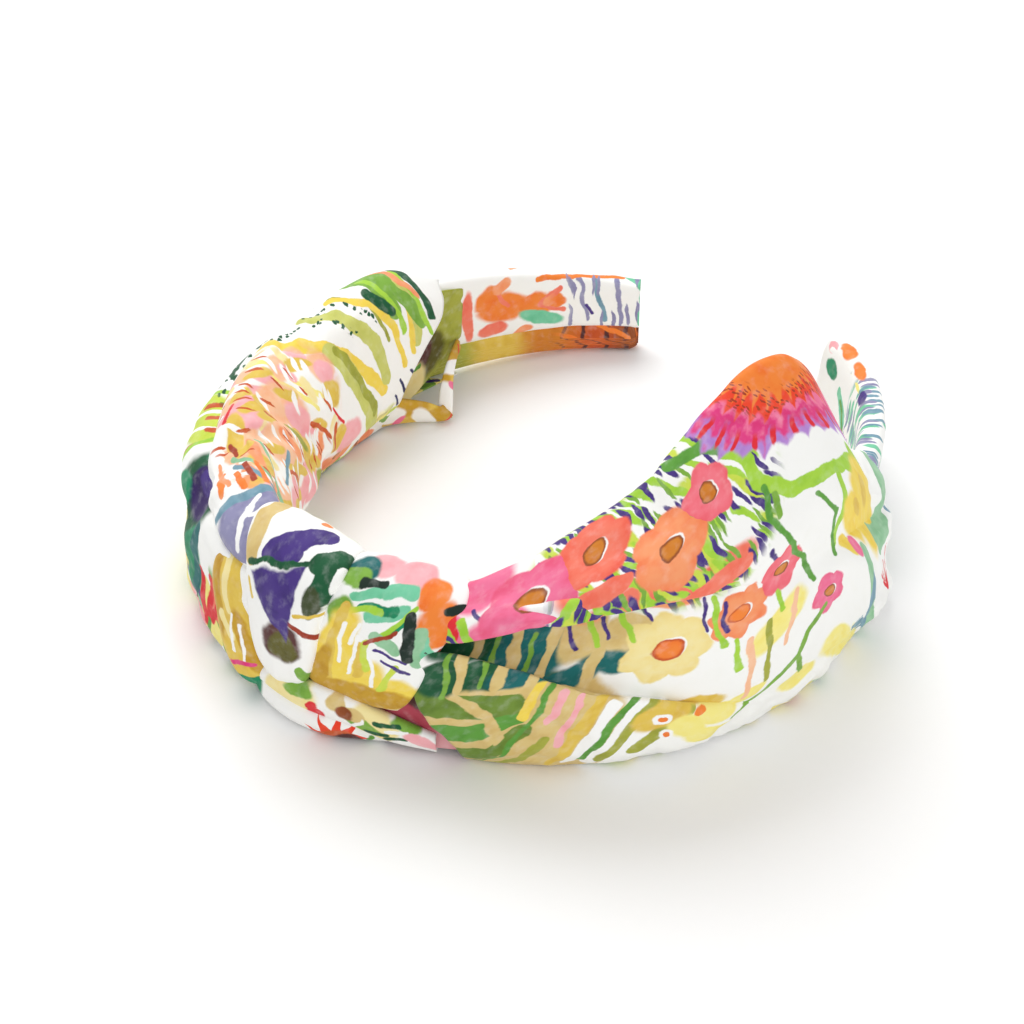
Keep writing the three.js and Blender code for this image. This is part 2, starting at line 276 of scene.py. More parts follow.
def coverSurface(cover, profile, startCourse, endCourse):
    # startCourse and endCourse give the cloth's edges for a place across it, from 0 at the head-side hem to 1
    samples, rows = 7, 92
    ridge = cover["ridgeSpan"] * samples
    columns = (len(profile(0)) - 1) * samples + 1
    points = np.zeros((rows, columns, 3))
    uv = np.zeros((rows, columns, 2))
    for j in range(columns):
        across = j / (columns - 1)
        courses = np.linspace(startCourse(across), endCourse(across), rows)
        for i, course in enumerate(courses):
            nearest = round(course * 2) / 2
            line, reach = profileCache(profile, nearest, samples)
            nextLine, _ = profileCache(profile, nearest + 0.5, samples)
            share = (course - nearest) / 0.5
            offset, height = line[j] * (1 - share) + nextLine[j] * share
            points[i, j] = bandPoint(cover["side"] * course, offset, max(height, coverLift))
            uv[i, j] = (arcLengthCache(course), reach[j] - reach[ridge])
    return points, uv * mm


profileStore = {}
lengthStore = {}


def profileCache(profile, course, samples):
    key = (profile.__name__, course, samples)
    if key not in profileStore:
        line = curveThrough(profile(course), samples)
        reach = np.concatenate([[0], np.cumsum(np.linalg.norm(np.diff(line, axis=0), axis=1))])
        profileStore[key] = (line, reach)
    return profileStore[key]


def arcLengthCache(course):
    key = round(course, 1)
    if key not in lengthStore:
        lengthStore[key] = arcLength(key)
    return lengthStore[key]


def gatherCover(points, uv, cover):
    # gathers that run out of the knot and into the far end, and soft dents along the arm
    near, far, strength, mouth, seed = cover["gathers"].values()
    normal = gridNormals(points) * -cover["side"]
    last = uv[:, :, 0].max() / mm
    rows, columns = points.shape[:2]
    for i in range(rows):
        for j in range(columns):
            x, w = uv[i, j] / mm
            fade = 1 - smoothStep(x, near, far)
            push = strength * fade * ripple(w * 0.2, x * 0.018, seed)
            push += strength * 0.5 * fade * ripple(w * 0.42, x * 0.03, seed + 1)
            push += mouth * smoothStep(x, last - 22, last - 6) * ripple(w * 0.3, x * 0.03, seed + 4)
            push += 0.9 * ripple(w * 0.055, x * 0.045, seed + 2)
            push += 0.4 * ripple(w * 0.13 + x * 0.06, x * 0.12 - w * 0.05, seed + 3)
            aboveTable = smoothStep(points[i, j, 2] / mm, 0.3, 4)
            points[i, j] += normal[i, j] * push * aboveTable * mm
    points[:, :, 2] = np.maximum(points[:, :, 2], coverLift * mm)
    return points


def rightStart(across):
    # the lower tier's free edge slants away from the knot
    return 6 + 10.5 * smoothStep(across, 0.69, 0.75) + 9.5 * smoothStep(across, 0.765, 0.94)


def rightEnd(across):
    return 113 - 2 * math.sin(math.pi * across)


def leftStart(across):
    return 6 + 1.5 * math.sin(5 * across)


def leftEnd(across):
    # the head-side edge slants back, so that the end stands open
    return 101 + 15 * smoothStep(across, 0.06, 0.24) + 3.5 * smoothStep(across, 0.26, 0.4)


def makeCover(name, cover, profile, start, end):
    points, uv = coverSurface(cover, profile, start, end)
    points = gatherCover(points, uv, cover)
    return gridObject(name, points, uv, flip=cover["side"] > 0)


def settleCloth(piece, held, settings):
    # a short simulation of air in the cover, with its gathered ends held
    group = piece.vertex_groups.new(name="held")
    group.add(held, 1, "REPLACE")
    before = np.array([v.co for v in piece.data.vertices])
    cloth = piece.modifiers.new("Cloth", "CLOTH")
    cloth.settings.quality = settings["quality"]
    cloth.settings.mass = settings["mass"]
    cloth.settings.tension_stiffness = settings["stiffness"]
    cloth.settings.compression_stiffness = settings["stiffness"]
    cloth.settings.shear_stiffness = settings["stiffness"] / 2
    cloth.settings.bending_stiffness = settings["bending"]
    cloth.settings.use_pressure = True
    cloth.settings.uniform_pressure_force = settings["pressure"]
    cloth.settings.shrink_min = -settings["slack"]
    cloth.settings.vertex_group_mass = "held"
    cloth.settings.effector_weights.gravity = 0
    cloth.point_cache.frame_start, cloth.point_cache.frame_end = 1, settings["frames"]
    for step in range(1, settings["frames"] + 1):
        scene.frame_set(step)
    settled = piece.evaluated_get(bpy.context.evaluated_depsgraph_get())
    moved = np.array([v.co for v in settled.data.vertices]) - before
    size = np.linalg.norm(moved, axis=1, keepdims=True)
    moved *= np.minimum(1, settings["cap"] * mm / np.maximum(size, 1e-9))
    after = before + moved
    after[:, 2] = np.maximum(after[:, 2], coverLift * mm)
    piece.modifiers.remove(cloth)
    piece.vertex_groups.clear()
    piece.data.vertices.foreach_set("co", after.ravel())
    piece.data.update()
    scene.frame_set(1)
    print(piece.name, "settled, most moved before the cap", round(float(size.max() / mm), 2), "mm")


def heldPoints(piece, cover):
    # the ends of the cover and its foot on the table stay where they are
    firstCourse, lastCourse = cover["free"]
    held = []
    for v in piece.data.vertices:
        x, y = v.co.x / mm - middleX, v.co.y / mm - middleY
        depth = band["crownDepth"] if y < 0 else band["rearDepth"]
        course = 90 + math.degrees(math.atan2(y / depth, abs(x) / band["halfWidth"]))
        if course < firstCourse or course > lastCourse or v.co.z < 1 * mm:
            held.append(v.index)
    return held


air = {"quality": 6, "mass": 0.15, "stiffness": 12, "bending": 0.2, "pressure": 4, "slack": 0.03,
       "frames": 16,
       "cap": 1.6}

print("covers")
rightCloth = makeCover("right_cover_cloth", rightCover, rightProfile, rightStart, rightEnd)
leftCloth = makeCover("left_cover_cloth", leftCover, leftProfile, leftStart, leftEnd)
settleCloth(rightCloth, heldPoints(rightCloth, rightCover), air)
settleCloth(leftCloth, heldPoints(leftCloth, leftCover), air)


# narrow ends
sleeve = {
    "start": 103, "reach": 2.05, "grow": 1.25, "corner": 1.3, "rows": 60,
    "tipMore": {-1: 0.9, 1: 1.6},
    # the right end leans so that its foot lies nearer the head
    "lean": {-1: 0, 1: 3},
    "rise": {-1: 0, 1: 4.6},
}


def stripOutline(inner, outer, low, high, corner):
    # a rounded oblong in offset and height, starting at the low corner of the head side
    steps = 5
    centres = ((inner + corner, low + corner, 180), (outer - corner, low + corner, 270),
               (outer - corner, high - corner, 0), (inner + corner, high - corner, 90))
    line = []
    for offset, height, first in centres:
        for i in range(steps + 1):
            angle = math.radians(first + 90 * i / steps)
            line.append((offset + corner * math.cos(angle), height + corner * math.sin(angle)))
    return line


def sleeveTop(side, course):
    return along(band["high"], course) + sleeve["rise"][side] * smoothStep(course, 120, 153)


def leanAt(side, course, offset, drop):
    # drop is 0 at the top edge and 1 at the foot; the outer face stays outside the plastic
    held = 1 - 0.8 * smoothStep(offset, -sleeve["reach"], sleeve["reach"])
    return -sleeve["lean"][side] * drop * held * smoothStep(course, 112, 140)


def makeSleeve(name, side):
    s = sleeve
    points, uv = [], []
    tip = band["tipCourse"] + s["tipMore"][side]
    courses = list(np.linspace(s["start"], tip, s["rows"]))
    for course in courses:
        closing = smoothStep(course, tip - 1.7, tip)
        low = along(band["low"], course) - s["grow"] + closing * 0.9
        high = sleeveTop(side, course) + s["grow"] - closing * 1.4
        reach = s["reach"] * (1 - 0.35 * closing)
        outline = stripOutline(-reach, reach, low, high, min(s["corner"], reach * 0.8))
        dense = []
        for (o0, z0), (o1, z1) in zip(outline, outline[1:] + outline[:1]):
            steps = 8 if abs(z1 - z0) > 4 else 1
            dense += [(o0 + (o1 - o0) * k / steps, z0 + (z1 - z0) * k / steps) for k in range(steps)]
        row, reachAlong = [], 0
        for k, (offset, height) in enumerate(dense):
            swell = 0.16 * ripple(course * 0.25, height * 0.16, side + (1 if offset > 0 else 4))
            tilt = leanAt(side, course, offset, (high - height) / (high - low))
            row.append(bandPoint(side * course, offset + math.copysign(swell, offset) + tilt, height))
            if k:
                reachAlong += math.hypot(offset - dense[k - 1][0], height - dense[k - 1][1])
            uv.append((arcLengthCache(course) * mm, reachAlong * mm))
        points.append(row)
    points = np.array(points)
    uv = np.array(uv).reshape(*points.shape[:2], 2)
    if side > 0:
        points = points[:, ::-1]
        uv = uv[:, ::-1]
    rows, columns = points.shape[:2]
    faces = gridFaces(rows, columns, True)
    faces.append(tuple((rows - 1) * columns + j for j in range(columns)))
    piece = newObject(name, points.reshape(-1, 3), faces, uv.reshape(-1, 2))
    addModifier(piece, "SOLIDIFY", thickness=0.5 * mm, offset=-1, use_rim=True)
    return piece


def makeFacing(name, side):
    # a strip that covers the head side of the sleeve from its seam up, and turns over the top edge
    rows, perSpan = 60, 6
    points, uv = [], []
    reach = sleeve["reach"]
    for course in np.linspace(sleeve["start"], band["tipCourse"] + sleeve["tipMore"][side] + 0.1, rows):
        low, high = along(band["low"], course), sleeveTop(side, course)
        seam = low + (high - low) * (0.3 + 0.05 * math.sin(course * 0.09))
        line = [(-reach - 0.25, seam), (-reach - 0.95, seam + 1.1), (-reach - 1, (seam + high) / 2),
                (-reach - 0.9, high - 0.4), (-reach + 0.1, high + 1.7), (0, high + 2),
                (reach - 0.2, high + 1.7),
                (reach + 0.85, high - 0.4), (reach + 0.6, high - 1.8)]
        line = curveThrough(line, perSpan)
        row, travel = [], 0
        for k, (offset, height) in enumerate(line):
            tilt = leanAt(side, course, offset, (high - height) / (high - low))
            swell = 0.14 * ripple(course * 0.2, height * 0.2, side * 3)
            row.append(bandPoint(side * course, offset + tilt - swell, height))
            if k:
                travel += math.hypot(offset - line[k - 1][0], height - line[k - 1][1])
            uv.append((arcLengthCache(course) * mm, travel * mm))
        points.append(row)
    points = np.array(points)
    piece = gridObject(name, points, np.array(uv).reshape(*points.shape[:2], 2), flip=side > 0)
    clothLayer(piece, 0.35)
    return piece


print("narrow ends")
leftSleeve = makeSleeve("left_sleeve_cloth", -1)
rightSleeve = makeSleeve("right_sleeve_cloth", 1)
leftFacing = makeFacing("left_facing_cloth", -1)
rightFacing = makeFacing("right_facing_cloth", 1)

# knot
# Each row is the left edge, the right edge, each as course, offset and height, and how far the cloth swells.
knotWrap = {
    "rows": [
        ((-17, -5.6, 2.6), (1, -6.2, 2.6), 0.9), ((-19, -7.2, 14), (1.4, -7.6, 14), 1.3),
        ((-20, -7, 27), (2, -7.6, 28), 1.4),
        ((-20.5, -4, 36), (3, -5.5, 36.5), 1.6), ((-18.5, 1.5, 39), (4.5, 0.5, 39.4), 2),
        ((-15.5, 6.5, 37), (5.2, 5.5, 38.5), 2.6), ((-13, 9, 32), (4, 8.6, 34.5), 3.2),
        ((-12.4, 9.6, 25), (2.6, 9.4, 27.5), 3.4), ((-12.2, 9.8, 17.5), (1.6, 9.4, 20), 3.2),
        ((-10.4, 9.6, 10.5), (-0.4, 9.2, 12.5), 2.6), ((-8, 8, 6), (-3, 8, 7), 1.6),
    ],
    "seed": 21, "creases": 0.35, "slip": 9.8,
}
knotFlap = {
    "rows": [
        ((0, -5.8, 2.6), (18, -6, 2.6), 0.8), ((0.6, -7.2, 14), (20, -7, 14), 1),
        ((1, -7.4, 28), (21, -7, 28), 1.2),
        ((2.5, -6, 35.5), (23.5, -5.5, 36), 1.4), ((3.5, -1, 38.4), (25.5, -1.5, 39), 1.6),
        ((4, 5, 37.5), (25.5, 4.5, 37), 1.7), ((3.4, 8, 33), (23.4, 8, 32), 1.8),
        ((1.8, 8.8, 26), (21.4, 8.8, 27), 2), ((0.6, 8.8, 18.5), (19.2, 9, 20), 2.2),
        ((-0.6, 8.6, 12.6), (17.2, 9.2, 15), 1.8), ((2, 8.4, 10.4), (15.4, 8.8, 12.2), 0.9),
    ],
    "seed": 33, "creases": 0.3, "slip": 9.7,
}
knotLowerBand = {
    "rows": [
        ((-15, 8.6, 3.6), (-15, 8.4, 8), 1), ((-10.5, 9.4, 3), (-10.5, 9, 9), 1.8),
        ((-5, 9.8, 4), (-5, 9.2, 10.4), 2.2), ((1.5, 9.6, 5), (2, 9.2, 12.2), 2.2),
        ((8, 9, 5), (8.5, 8.8, 11.6), 2), ((14, 8.2, 3.2), (14.5, 8.2, 9.6), 1.7),
        ((21, 6.6, 1.6), (21, 6.8, 6), 1.1),
    ],
    "seed": 45, "creases": 0.4,
}
knotRoll = {
    "rows": [
        ((-14, 7.6, 1.2), (-14, 8, 7), 1.4), ((-9, 8.6, 0.7), (-9, 9.6, 7), 2.8),
        ((-3, 8.8, 0.6), (-3, 10, 6.6), 3.4),
        ((3, 8, 0.6), (3, 9.4, 6), 3.2), ((8, 7, 0.7), (8, 8, 5.4), 2), ((13, 6, 1), (13, 6.4, 4.4), 1),
    ],
    "seed": 52, "creases": 0.2,
}
# the pink inner cloth in the recess between the flap and the lower band, whose print is painted shade
knotTuck = {
    "rows": [
        ((-17, 6, 2), (-18, 6, 24), 0.8), ((-8, 6.4, 2), (-8, 6.4, 26), 0.8),
        ((3, 6.6, 1.5), (2, 6.6, 26), 0.8),
        ((13, 6.4, 1.5), (12, 6.4, 26), 0.8), ((22, 5.4, 1.5), (22, 5.6, 24), 0.8),
        ((28, 4.6, 1.5), (28, 5, 22), 0.8),
    ],
    "seed": 71, "creases": 0.3,
}
# the open end of the left cover: cloth gathered on to the narrow end, and the hem that spreads on the table
endTuck = {
    "rows": [
        ((-103, -8.5, 2), (-104, -7.5, 30), 0.5), ((-108, -6.5, 3), (-109, -5.4, 29.5), 0.5),
        ((-114, -4.2, 6), (-115, -3.6, 27.5), 0.5), ((-119.3, -2.9, 10.5), (-120.2, -2.7, 25.6), 0.4),
    ],
    "seed": 82, "creases": 0.5,
}
endFlare = {
    "rows": [
        ((-97, -8, 1.2), (-97, -11, 12), 0.8), ((-101, -9.5, 1), (-101, -13, 10), 1.2),
        ((-105.5, -13, 0.9), (-105.5, -15.5, 7.4), 1.2), ((-109.5, -17.2, 0.9), (-109, -16, 4.6), 0.9),
        ((-111, -17, 1.2), (-109.8, -15, 4.6), 0.6),
    ],
    "seed": 88, "creases": 0.3,
}
endTurn = {
    "rows": [
        ((-110.8, -17.2, 1), (-108.6, -15.2, 1.6), 0.4), ((-111.4, -16.6, 5), (-109.2, -14.6, 5.4), 0.7),
        ((-112.4, -15, 9.4), (-110.6, -13.6, 10), 0.7), ((-115.5, -10, 10.6), (-114, -10, 12.6), 0.6),
        ((-119, -4, 9.6), (-118.4, -4, 12.6), 0.5),
    ],
    "seed": 93, "creases": 0.3,
}
# a pleat of the left cover that stands out beside the wrap
knotPleat = {
    "rows": [
        ((-25, 7, 27), (-17, 6.5, 29), 1), ((-23.5, 9.6, 23.5), (-15, 8.6, 26.5), 2),
        ((-21, 10.8, 16), (-12.5, 9, 20.5), 2.6), ((-18, 11.8, 8.6), (-11, 9.2, 13), 2.6),
        ((-14.5, 11.4, 4), (-9.5, 9.2, 8), 2), ((-10, 8.6, 2.6), (-7, 7.6, 5), 1),
    ],
    "seed": 61, "creases": 0.3, "slip": -7,
}


def makeRibbon(name, settings):
    # a puffed strip whose edges turn under, by this many degrees
    samples, columns, turnUnder = 9, 30, 26
    creases, seed = settings["creases"], settings["seed"]
    lefts = curveThrough([bandPoint(*row[0]) for row in settings["rows"]], samples)
    rights = curveThrough([bandPoint(*row[1]) for row in settings["rows"]], samples)
    swells = curveThrough([(row[2], 0) for row in settings["rows"]], samples)[:, 0]
    rows = len(lefts)
    middle = (lefts + rights) / 2
    tangent = np.gradient(middle, axis=0)
    half = (rights - lefts) / 2
    normal = np.cross(tangent, half)
    normal /= np.linalg.norm(normal, axis=1, keepdims=True)
    travel = np.concatenate([[0], np.cumsum(np.linalg.norm(np.diff(middle, axis=0), axis=1))])
    points = np.zeros((rows, columns, 3))
    uv = np.zeros((rows, columns, 2))
    for i in range(rows):
        width = np.linalg.norm(half[i])
        for j in range(columns):
            angle = math.radians(180 + turnUnder - (180 + 2 * turnUnder) * j / (columns - 1))
            side, out = math.cos(angle), math.sin(angle)
            bulge = math.copysign(abs(out) ** 0.8, out) * swells[i] * mm
            across = side * width / mm
            crease = creases * ripple(across * 0.55, travel[i] / mm * 0.05, seed)
            crease += creases * 0.6 * ripple(across * 0.2, travel[i] / mm * 0.14, seed + 1)
            points[i, j] = middle[i] + half[i] * side + normal[i] * (bulge + crease * max(out, 0) * mm)
            uv[i, j] = (travel[i] - settings.get("slip", 0) * mm, side * width)
    points[:, :, 2] = np.maximum(points[:, :, 2], ribbonLift * mm)
    piece = gridObject(name, points, uv)
    clothLayer(piece)
    return piece


print("knot")
wrapCloth = makeRibbon("knot_wrap_cloth", knotWrap)
flapCloth = makeRibbon("knot_flap_cloth", knotFlap)
lowerBandCloth = makeRibbon("knot_lower_band_cloth", knotLowerBand)
rollCloth = makeRibbon("knot_roll_cloth", knotRoll)
pleatCloth = makeRibbon("knot_pleat_cloth", knotPleat)
tuckCloth = makeRibbon("knot_tuck_cloth", knotTuck)
endTuckCloth = makeRibbon("left_end_tuck_cloth", endTuck)
endFlareCloth = makeRibbon("left_end_flare_cloth", endFlare)
endTurnCloth = makeRibbon("left_end_turn_cloth", endTurn)

# camera, floor, light
view = {"azimuth": 36, "elevation": 37, "distance": 560, "lens": 87.9, "aim": (-5.8, 6.9)}
azimuth, elevation = math.radians(view["azimuth"]), math.radians(view["elevation"])
level = math.cos(elevation)
back = Vector((math.sin(azimuth) * level, -math.cos(azimuth) * level, math.sin(elevation)))
right = Vector((math.cos(azimuth), math.sin(azimuth), 0))
up = back.cross(right)
centre = Vector((middleX, middleY, 0)) * mm
camera = bpy.data.objects.new("camera", bpy.data.cameras.new("camera"))
scene.collection.objects.link(camera)
camera.location = centre + back * view["distance"] * mm
target = centre + (right * view["aim"][0] + up * view["aim"][1]) * mm
camera.rotation_euler = (target - camera.location).to_track_quat("-Z", "Y").to_euler()
camera.data.lens = view["lens"]
camera.data.sensor_width = 36
camera.data.clip_start = 0.01
scene.camera = camera

floor = newObject("floor", [(-4, -4, 0), (4, -4, 0), (4, 4, 0), (-4, 4, 0)], [(0, 1, 2, 3)])
floor.location.z = cadBox[0][2]

light = {
    "surround": 0.62,
    "key_light": {"place": (-0.5, 0.35, 0.9), "size": 0.7, "power": 7},
    "fill_light": {"place": (0.9, -0.6, 0.7), "size": 0.9, "power": 4},
}
world = bpy.data.worlds.new("studio")
scene.world = world
world.use_nodes = True
surround = world.node_tree.nodes["Background"].inputs
surround["Color"].default_value = (1, 1, 1, 1)
surround["Strength"].default_value = light["surround"]
scene.view_settings.view_transform = "Standard"


def softBox(name):
    # a square lamp that faces the middle of the floor
    settings = light[name]
    lamp = bpy.data.lights.new(name, "AREA")
    lamp.shape = "RECTANGLE"
    lamp.size = lamp.size_y = settings["size"]
    lamp.energy = settings["power"]
    piece = bpy.data.objects.new(name, lamp)
    scene.collection.objects.link(piece)
    piece.location = settings["place"]
    piece.rotation_euler = (-Vector(settings["place"])).to_track_quat("-Z", "Y").to_euler()


softBox("key_light")
softBox("fill_light")


# shader maths
class Wire:
    # one socket's value, with the operators that the materials use
    def __init__(self, paint, socket):
        self.paint = paint
        self.socket = socket

    def maths(self, operation, *others):
        values = dict(enumerate((self, *others)))
        return self.paint.node("ShaderNodeMath", {"operation": operation}, values)

    def __add__(self, other):
        return self.maths("ADD", other)

    __radd__ = __add__

    def __sub__(self, other):
        return self.maths("SUBTRACT", other)

    def __rsub__(self, other):
        return self.paint.node("ShaderNodeMath", {"operation": "SUBTRACT"}, {0: other, 1: self})

    def __mul__(self, other):
        return self.maths("MULTIPLY", other)

    __rmul__ = __mul__

    def __truediv__(self, other):
        return self.maths("DIVIDE", other)

    def __lt__(self, other):
        return self.maths("LESS_THAN", other)

    def __abs__(self):
        return self.maths("ABSOLUTE")

    def least(self, other):
        return self.maths("MINIMUM", other)

    def most(self, other):
        return self.maths("MAXIMUM", other)

    def falls(self, start, end):
        # 1 below start, 0 above end
        settings = {"interpolation_type": "SMOOTHSTEP"}
        values = {"Value": self, "From Min": start, "From Max": end, "To Min": 1, "To Max": 0}
        return self.paint.node("ShaderNodeMapRange", settings, values)

    def rises(self, start, end):
        settings = {"interpolation_type": "SMOOTHSTEP"}
        return self.paint.node("ShaderNodeMapRange", settings,
                               {"Value": self, "From Min": start, "From Max": end})


def shade(red, green, blue):
    # a screen colour from 0 to 255, as the shader's linear light
    parts = [c / 255 for c in (red, green, blue)]
    return tuple(c / 12.92 if c <= 0.04045 else ((c + 0.055) / 1.055) ** 2.4 for c in parts) + (1,)


class Paint:
    # one material's nodes
    def __init__(self, name):
        self.material = bpy.data.materials.new(name)
        self.material.use_nodes = True
        self.tree = self.material.node_tree
        self.shader = self.tree.nodes["Principled BSDF"]

    def node(self, kind, settings=None, values=None, output=0):
        made = self.tree.nodes.new(kind)
        for key, value in (settings or {}).items():
            if key == "stops":  # a ramp of equal flat steps
                ramp = made.color_ramp
                ramp.interpolation = "CONSTANT"
                for i, colour in enumerate(value):
                    stop = ramp.elements[0] if i == 0 else ramp.elements.new(i / len(value))
                    stop.color = colour
                ramp.elements.remove(ramp.elements[-1])
            else:
                setattr(made, key, value)
        for key, value in (values or {}).items():
            if isinstance(value, Wire):
                self.tree.links.new(value.socket, made.inputs[key])
            else:
                made.inputs[key].default_value = value
        return Wire(self, made.outputs[output])

    def also(self, wire, output):
        # another output of the node that made this wire
        return Wire(self, wire.socket.node.outputs[output])

    def vector(self, operation, first, second=(0, 0, 0), output=0):
        return self.node("ShaderNodeVectorMath", {"operation": operation}, {0: first, 1: second}, output)

    def length(self, vector):
        return self.vector("LENGTH", vector, output="Value")

    def mix(self, under, over, amount):
        return self.node("ShaderNodeMix", {"data_type": "RGBA"}, {0: amount, 6: under, 7: over}, 2)

    def mixVector(self, under, over, amount):
        return self.node("ShaderNodeMix", {"data_type": "VECTOR"}, {0: amount, 4: under, 5: over}, 1)

    def split(self, vector):
        across = self.node("ShaderNodeSeparateXYZ", None, {0: vector})
        return across, self.also(across, 1)

    def noise(self, vector, scale, detail=2, output=0):
        values = {"Vector": vector, "Scale": scale, "Detail": detail}
        return self.node("ShaderNodeTexNoise", {"noise_dimensions": "3D"}, values, output)

    def set(self, **inputs):
        for key, value in inputs.items():
            name = {"colour": "Base Color", "roughness": "Roughness", "normal": "Normal",
                    "sheen": "Sheen Weight",
                    "sheenRoughness": "Sheen Roughness", "gloss": "Specular IOR Level"}[key]
            if isinstance(value, Wire):
                self.tree.links.new(value.socket, self.shader.inputs[name])
            else:
                self.shader.inputs[name].default_value = value


colours = {
    "ground": shade(250, 250, 247), "white": shade(252, 252, 250), "lime": shade(168, 214, 66),
    "limeYellow": shade(205, 222, 80), "leafGreen": shade(96, 160, 62), "grass": shade(128, 176, 66),
    "darkGreen": shade(18, 88, 52), "emerald": shade(20, 140, 96), "mint": shade(120, 205, 165),
    "teal": shade(12, 104, 104), "sage": shade(150, 200, 158),
    "olive": shade(168, 172, 66), "paleOlive": shade(205, 208, 112), "tan": shade(222, 196, 130),
    "yellow": shade(244, 216, 86), "paleYellow": shade(248, 236, 140), "ochre": shade(202, 158, 42),
    "ochreLight": shade(228, 196, 84), "amber": shade(212, 130, 40), "brown": shade(150, 78, 36),
    "redBrown": shade(168, 62, 34), "orange": shade(244, 134, 52), "salmon": shade(248, 160, 110),
    "peach": shade(250, 198, 160), "coral": shade(244, 126, 102), "coralPink": shade(244, 122, 136),
    "pink": shade(242, 118, 158), "palePink": shade(248, 180, 186), "magenta": shade(226, 62, 132),
    "red": shade(226, 42, 52), "hotRed": shade(238, 70, 40), "lilac": shade(186, 140, 214),
    "violet": shade(72, 50, 130), "deepViolet": shade(48, 22, 92), "navy": shade(38, 40, 92),
    "greyLilac": shade(146, 144, 180), "blueGrey": shade(120, 160, 178), "cream": shade(246, 230, 164),
    "maroon": shade(88, 46, 44), "blackGreen": shade(22, 44, 34), "capsule": shade(62, 74, 40),
    "darkOlive": shade(96, 92, 30), "rose": shade(190, 74, 92), "oliveGreen": shade(112, 142, 52),
    "rust": shade(206, 92, 40),
}


# the wander of the drawn shapes, in millimetres, and how much the paint pools and thins
brush = {"waveScale": 0.16, "wave": 3, "wobbleScale": 0.9, "wobble": 0.5, "poolScale": 0.28,
         "cloudScale": 0.45,
         "deep": 0.34, "thin": 0.16, "roughness": 0.66}
weave = {"threads": 18, "height": 0.4, "slubScale": 1.5, "strength": 0.12, "depth": 0.0001}


